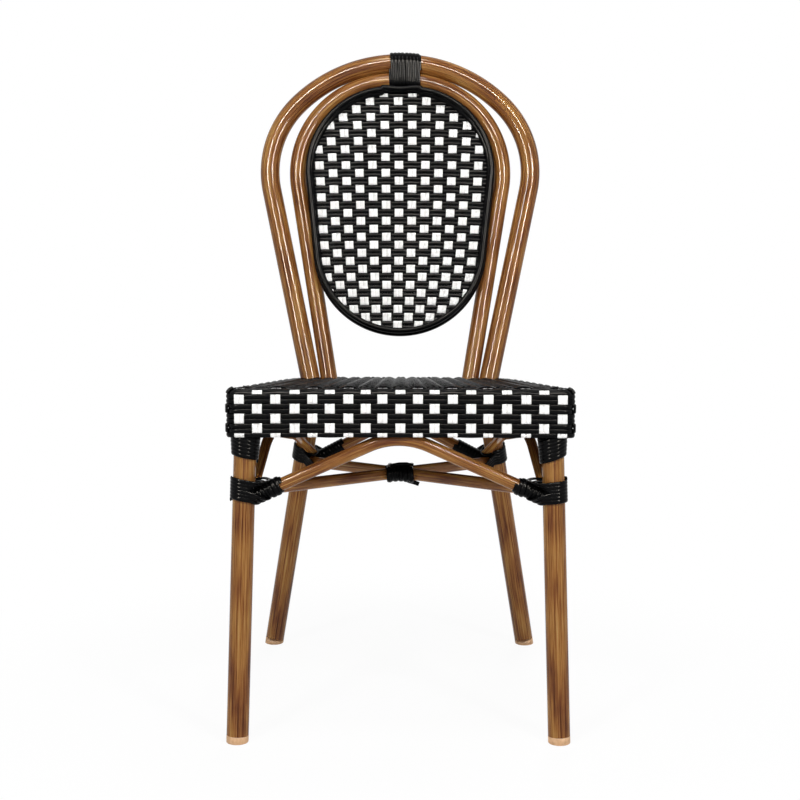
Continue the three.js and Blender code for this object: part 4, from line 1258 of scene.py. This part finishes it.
class ChairTubes(bpy.types.PropertyGroup):
    outer_radius: bpy.props.FloatProperty(
        name="Outer Tube Radius", description="Legs and outer hoop", default=OUTER_RADIUS * MM, unit="LENGTH")
    inner_radius: bpy.props.FloatProperty(
        name="Inner Tube Radius", description="Inner hoop", default=INNER_RADIUS * MM, unit="LENGTH")
    brace_radius: bpy.props.FloatProperty(
        name="Brace Radius", description="Arches and stretchers", default=BRACE_RADIUS * MM, unit="LENGTH")
    side_arch_radius: bpy.props.FloatProperty(
        name="Side Arch Radius", description="Arches under the sides", default=SIDE_ARCH_RADIUS * MM, unit="LENGTH")


class ChairWeave(bpy.types.PropertyGroup):
    strand_width: bpy.props.FloatProperty(
        name="Strand Width", description="One strand of a pair", default=0.006, unit="LENGTH")
    white_thickness: bpy.props.FloatProperty(
        name="White Thickness", description="Thickness of the white strands", default=0.0013, unit="LENGTH")
    black_thickness: bpy.props.FloatProperty(
        name="Black Thickness", description="Thickness of the black strands", default=0.0031, unit="LENGTH")
    white_wave: bpy.props.FloatProperty(
        name="White Wave", description="How far a white strand rises and falls", default=0.0014, unit="LENGTH")
    black_wave: bpy.props.FloatProperty(
        name="Black Wave", description="How far a black strand rises and falls", default=0.0009, unit="LENGTH")
    piping_radius: bpy.props.FloatProperty(
        name="Piping Radius", description="Round edging of the back panel", default=0.004, unit="LENGTH")


class ChairBindings(bpy.types.PropertyGroup):
    strand_width: bpy.props.FloatProperty(
        name="Strand Width", description="Strand that the bindings are wound from", default=0.0062, unit="LENGTH")
    strand_thickness: bpy.props.FloatProperty(
        name="Strand Thickness", description="Thickness of that strand", default=0.0026, unit="LENGTH")
    hoop_loops: bpy.props.IntProperty(name="Hoop Loops", description="Loops at the top of the back", default=8)
    leg_top_loops: bpy.props.IntProperty(name="Leg Top Loops", description="Loops under the apron", default=4)
    centre_loops: bpy.props.IntProperty(name="Centre Loops", description="Loops at the crossing", default=5)


class ChairFinish(bpy.types.PropertyGroup):
    bamboo_dark: bpy.props.StringProperty(name="Bamboo Dark", description="sRGB hex", default="#66391D")
    bamboo_mid: bpy.props.StringProperty(name="Bamboo Mid", description="sRGB hex", default="#88572A")
    bamboo_light: bpy.props.StringProperty(name="Bamboo Light", description="sRGB hex", default="#A0743C")
    strand_black: bpy.props.StringProperty(name="Black Strand", description="sRGB hex", default="#060607")
    strand_white: bpy.props.StringProperty(name="White Strand", description="sRGB hex", default="#FBFAF8")
    glide_tan: bpy.props.StringProperty(name="Glide Tan", description="sRGB hex", default="#D8AE84")


class ChairStudio(bpy.types.PropertyGroup):
    camera_back: bpy.props.FloatProperty(
        name="Camera Distance", description="From the middle of the chair", default=2.192, unit="LENGTH")
    camera_height: bpy.props.FloatProperty(
        name="Camera Height", description="Above the floor", default=0.64424, unit="LENGTH")
    camera_side: bpy.props.FloatProperty(
        name="Camera Side", description="Off the middle of the chair", default=0.0046, unit="LENGTH")
    camera_roll: bpy.props.FloatProperty(
        name="Camera Roll", description="About the line of sight", default=math.radians(-0.116), subtype="ANGLE")
    camera_turn: bpy.props.FloatProperty(
        name="Camera Turn", description="To the left", default=math.radians(0.111), subtype="ANGLE")
    camera_tilt: bpy.props.FloatProperty(
        name="Camera Tilt", description="Below the horizon", default=math.radians(6.1924), subtype="ANGLE")
    focal_length: bpy.props.FloatProperty(name="Focal Length", description="In millimetres", default=72.0)


# Operators


class CHAIR_OT_tubes(bpy.types.Operator):
    """Bends the hoops, legs, arches and stretchers"""

    bl_idname = "chair.tubes"
    bl_label = "Tubes"

    def execute(self, context):
        sizes = context.scene.chair_tubes
        finish = bamboo_lacquer()
        outer, inner = sizes.outer_radius / MM, sizes.inner_radius / MM
        brace, side_brace = sizes.brace_radius / MM, sizes.side_arch_radius / MM
        long_ends = stretcher_ends(1)
        crossing = stretcher_crossing()
        pieces = {
            "outer_hoop": (outer_hoop_path(), outer),
            "inner_hoop": (inner_hoop_path(), inner),
            "front_arch": (front_arch_path(), brace),
            "rear_arch": (rear_arch_path(), brace),
            "long_stretcher": (list(long_ends), brace),
        }
        for side, label in SIDES:
            line = front_leg_line(side)
            pieces["front_leg_" + label] = ([leg_start(line), line[1]], outer)
            pieces["side_arch_" + label] = (side_arch_path(side), side_brace)
        for label, end in zip(("front", "rear"), stretcher_ends(-1)):
            pieces[label + "_half_stretcher"] = ([end, crossing], brace)
        for node, (path, radius) in pieces.items():
            piece = tube(node + "_tube", path, radius, finish)
            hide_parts(node)
        return {"FINISHED"}


class CHAIR_OT_glides(bpy.types.Operator):
    """Turns the four plastic glides"""

    bl_idname = "chair.glides"
    bl_label = "Glides"

    def execute(self, context):
        finish = moulded_plastic()
        for side, label in SIDES:
            for end, line in (("front", front_leg_line(side)), ("rear", rear_leg_line(side))):
                piece = keep(f"{end}_foot_{label}", glide_mesh(line, finish))
                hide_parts(f"{end}_glide_{label}")
        return {"FINISHED"}


class CHAIR_OT_seat_weave(bpy.types.Operator):
    """Weaves the seat and its apron"""

    bl_idname = "chair.seat_weave"
    bl_label = "Seat Weave"

    def execute(self, context):
        weave = context.scene.chair_weave
        width = weave.strand_width / MM
        outline = SeatOutline()
        white, black = apron_warps(outline, width)
        pieces = [
            oval_strands("apron_wefts", ring_wefts(outline), weave.strand_width * WEFT_WIDENING,
                         weave.black_thickness, weave.black_wave, black_strand()),
            flat_strands("apron_white_uprights", white, weave.strand_width,
                         weave.white_thickness, weave.white_wave, white_strand()),
        ]
        for name, guides, wave in (
                ("apron_black_uprights", black, weave.white_wave * BLACK_UPRIGHT_WAVE),
                ("seat_columns", top_columns(outline, width), weave.white_wave * TOP_COLUMN_WAVE),
                ("seat_rows", top_cross_strands(outline, width), weave.black_wave * TOP_ROW_WAVE)):
            pieces.append(oval_strands(name, guides, weave.strand_width, weave.black_thickness, wave,
                                       black_strand()))
        for piece in pieces:
            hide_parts("seat_weave")
        return {"FINISHED"}


class CHAIR_OT_back_panel(bpy.types.Operator):
    """Weaves the oval back panel and edges it"""

    bl_idname = "chair.back_panel"
    bl_label = "Back Panel"

    def execute(self, context):
        weave = context.scene.chair_weave
        width = weave.strand_width / MM
        oval = panel_oval(4.0)
        wefts = oval_strands("back_wefts", back_wefts(width, oval), weave.strand_width * WEFT_WIDENING,
                             weave.black_thickness, weave.black_wave, black_strand())
        warps = flat_strands("back_white_uprights", back_warps(width * WHITE_WIDENING, oval),
                             weave.strand_width * WHITE_WIDENING, weave.white_thickness, weave.white_wave,
                             white_strand())
        for piece in (wefts, warps):
            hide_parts("back_weave")
        rim = tube("back_rim", panel_line(RIM_RADIUS, 0, RIM_SPREAD), RIM_RADIUS, black_strand(), EDGING_SIDES, True)
        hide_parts("back_panel_rim")
        radius = weave.piping_radius / MM
        ahead = math.sqrt((RIM_RADIUS + radius + PIECE_GAP) ** 2 - PIPING_INSET ** 2)
        line = panel_line(RIM_RADIUS + PIPING_INSET, ahead, PIPING_SPREAD)
        piping = tube("back_edging", line, radius, black_strand(), EDGING_SIDES, True)
        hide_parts("back_piping")
        return {"FINISHED"}


class CHAIR_OT_bindings(bpy.types.Operator):
    """Winds the strand bindings"""

    bl_idname = "chair.bindings"
    bl_label = "Bindings"

    def execute(self, context):
        settings = context.scene.chair_bindings
        layers = (0, 1)
        centre = [centre_binding(settings.centre_loops, layer) for layer in layers]
        routes = {"hoop_top_binding": [hoop_binding(settings.hoop_loops, layer) for layer in layers],
                  "centre_binding": centre + centre_tails()}
        for side, label in SIDES:
            routes["leg_top_binding_" + label] = leg_top_binding(side, settings.leg_top_loops)
            routes["front_joint_binding_" + label] = front_joint_binding(side)
            routes["rear_joint_binding_" + label] = rear_joint_binding(side)
        for node, guides in routes.items():
            piece = oval_strands(node + "_strand", guides, settings.strand_width, settings.strand_thickness,
                                 0.0, black_strand())
            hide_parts(node)
        return {"FINISHED"}


class CHAIR_OT_inner_frame(bpy.types.Operator):
    """Paints the rails, cross bars and slats inside the seat"""

    bl_idname = "chair.inner_frame"
    bl_label = "Inner Frame"

    def execute(self, context):
        finish = powder_coat()
        for name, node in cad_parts.items():
            if any(word in name for word in ("rail", "cross_bar", "slat")) and name != "back_panel_rim":
                node.data.materials.clear()
                node.data.materials.append(finish)
        return {"FINISHED"}


class CHAIR_OT_studio(bpy.types.Operator):
    """Sets the floor, the lights and the camera"""

    bl_idname = "chair.studio"
    bl_label = "Studio"

    def execute(self, context):
        scene = context.scene
        studio = scene.chair_studio
        scene.view_settings.view_transform = "Standard"
        floor = bpy.data.meshes.new("floor")
        half = 12.0
        corners = [(x * half, y * half, 0) for x, y in ((-1, -1), (1, -1), (1, 1), (-1, 1))]
        floor.from_pydata(corners, [], [(0, 1, 2, 3)])
        floor.materials.append(floor_material())
        ground = bpy.data.objects.new("floor", floor)
        scene.collection.objects.link(ground)
        light_world(scene)
        for name, place, size, power in SOFTBOXES:
            lamp = add_lamp(scene, name, Vector(place), size, power)
            lamp.visible_glossy = name != "rear"
        for name, place, size, power in STRIPS:
            lamp = add_lamp(scene, name, Vector(place), size, power)
            lamp.visible_diffuse = False
            lamp.data.color = linear("#FFF6E8")[:3]
            lamp.light_linking.receiver_collection = strip_lit()
        camera = bpy.data.cameras.new("camera")
        camera.lens = studio.focal_length
        camera.sensor_width = 36
        viewer = bpy.data.objects.new("camera", camera)
        viewer.location = (studio.camera_side, -studio.camera_back, studio.camera_height)
        viewer.rotation_euler = (math.pi / 2 - studio.camera_tilt, studio.camera_roll, studio.camera_turn)
        scene.collection.objects.link(viewer)
        scene.camera = viewer
        return {"FINISHED"}


class CHAIR_PT_panel(bpy.types.Panel):
    """Lists the chair's steps"""

    bl_label = "Woven Bistro Chair"
    bl_idname = "CHAIR_PT_panel"
    bl_space_type = "VIEW_3D"
    bl_region_type = "UI"
    bl_category = "Chair"

    def draw(self, context):
        for operator in OPERATORS:
            self.layout.operator(operator.bl_idname)


SETTINGS = (ChairTubes, ChairWeave, ChairBindings, ChairFinish, ChairStudio)
OPERATORS = (CHAIR_OT_tubes, CHAIR_OT_glides, CHAIR_OT_seat_weave, CHAIR_OT_back_panel,
             CHAIR_OT_bindings, CHAIR_OT_inner_frame, CHAIR_OT_studio)


def register():
    for cls in (*SETTINGS, *OPERATORS, CHAIR_PT_panel):
        bpy.utils.register_class(cls)
    scene = bpy.types.Scene
    scene.chair_tubes = bpy.props.PointerProperty(type=ChairTubes)
    scene.chair_weave = bpy.props.PointerProperty(type=ChairWeave)
    scene.chair_bindings = bpy.props.PointerProperty(type=ChairBindings)
    scene.chair_finish = bpy.props.PointerProperty(type=ChairFinish)
    scene.chair_studio = bpy.props.PointerProperty(type=ChairStudio)


def unregister():
    scene = bpy.types.Scene
    for name in ("chair_tubes", "chair_weave", "chair_bindings", "chair_finish", "chair_studio"):
        delattr(scene, name)
    for cls in reversed((*SETTINGS, *OPERATORS, CHAIR_PT_panel)):
        bpy.utils.unregister_class(cls)


def main():
    register()
    bpy.ops.chair.studio()
    bpy.ops.chair.tubes()
    bpy.ops.chair.glides()
    bpy.ops.chair.seat_weave()
    bpy.ops.chair.back_panel()
    bpy.ops.chair.bindings()
    bpy.ops.chair.inner_frame()


if __name__ == "__main__":
    main()
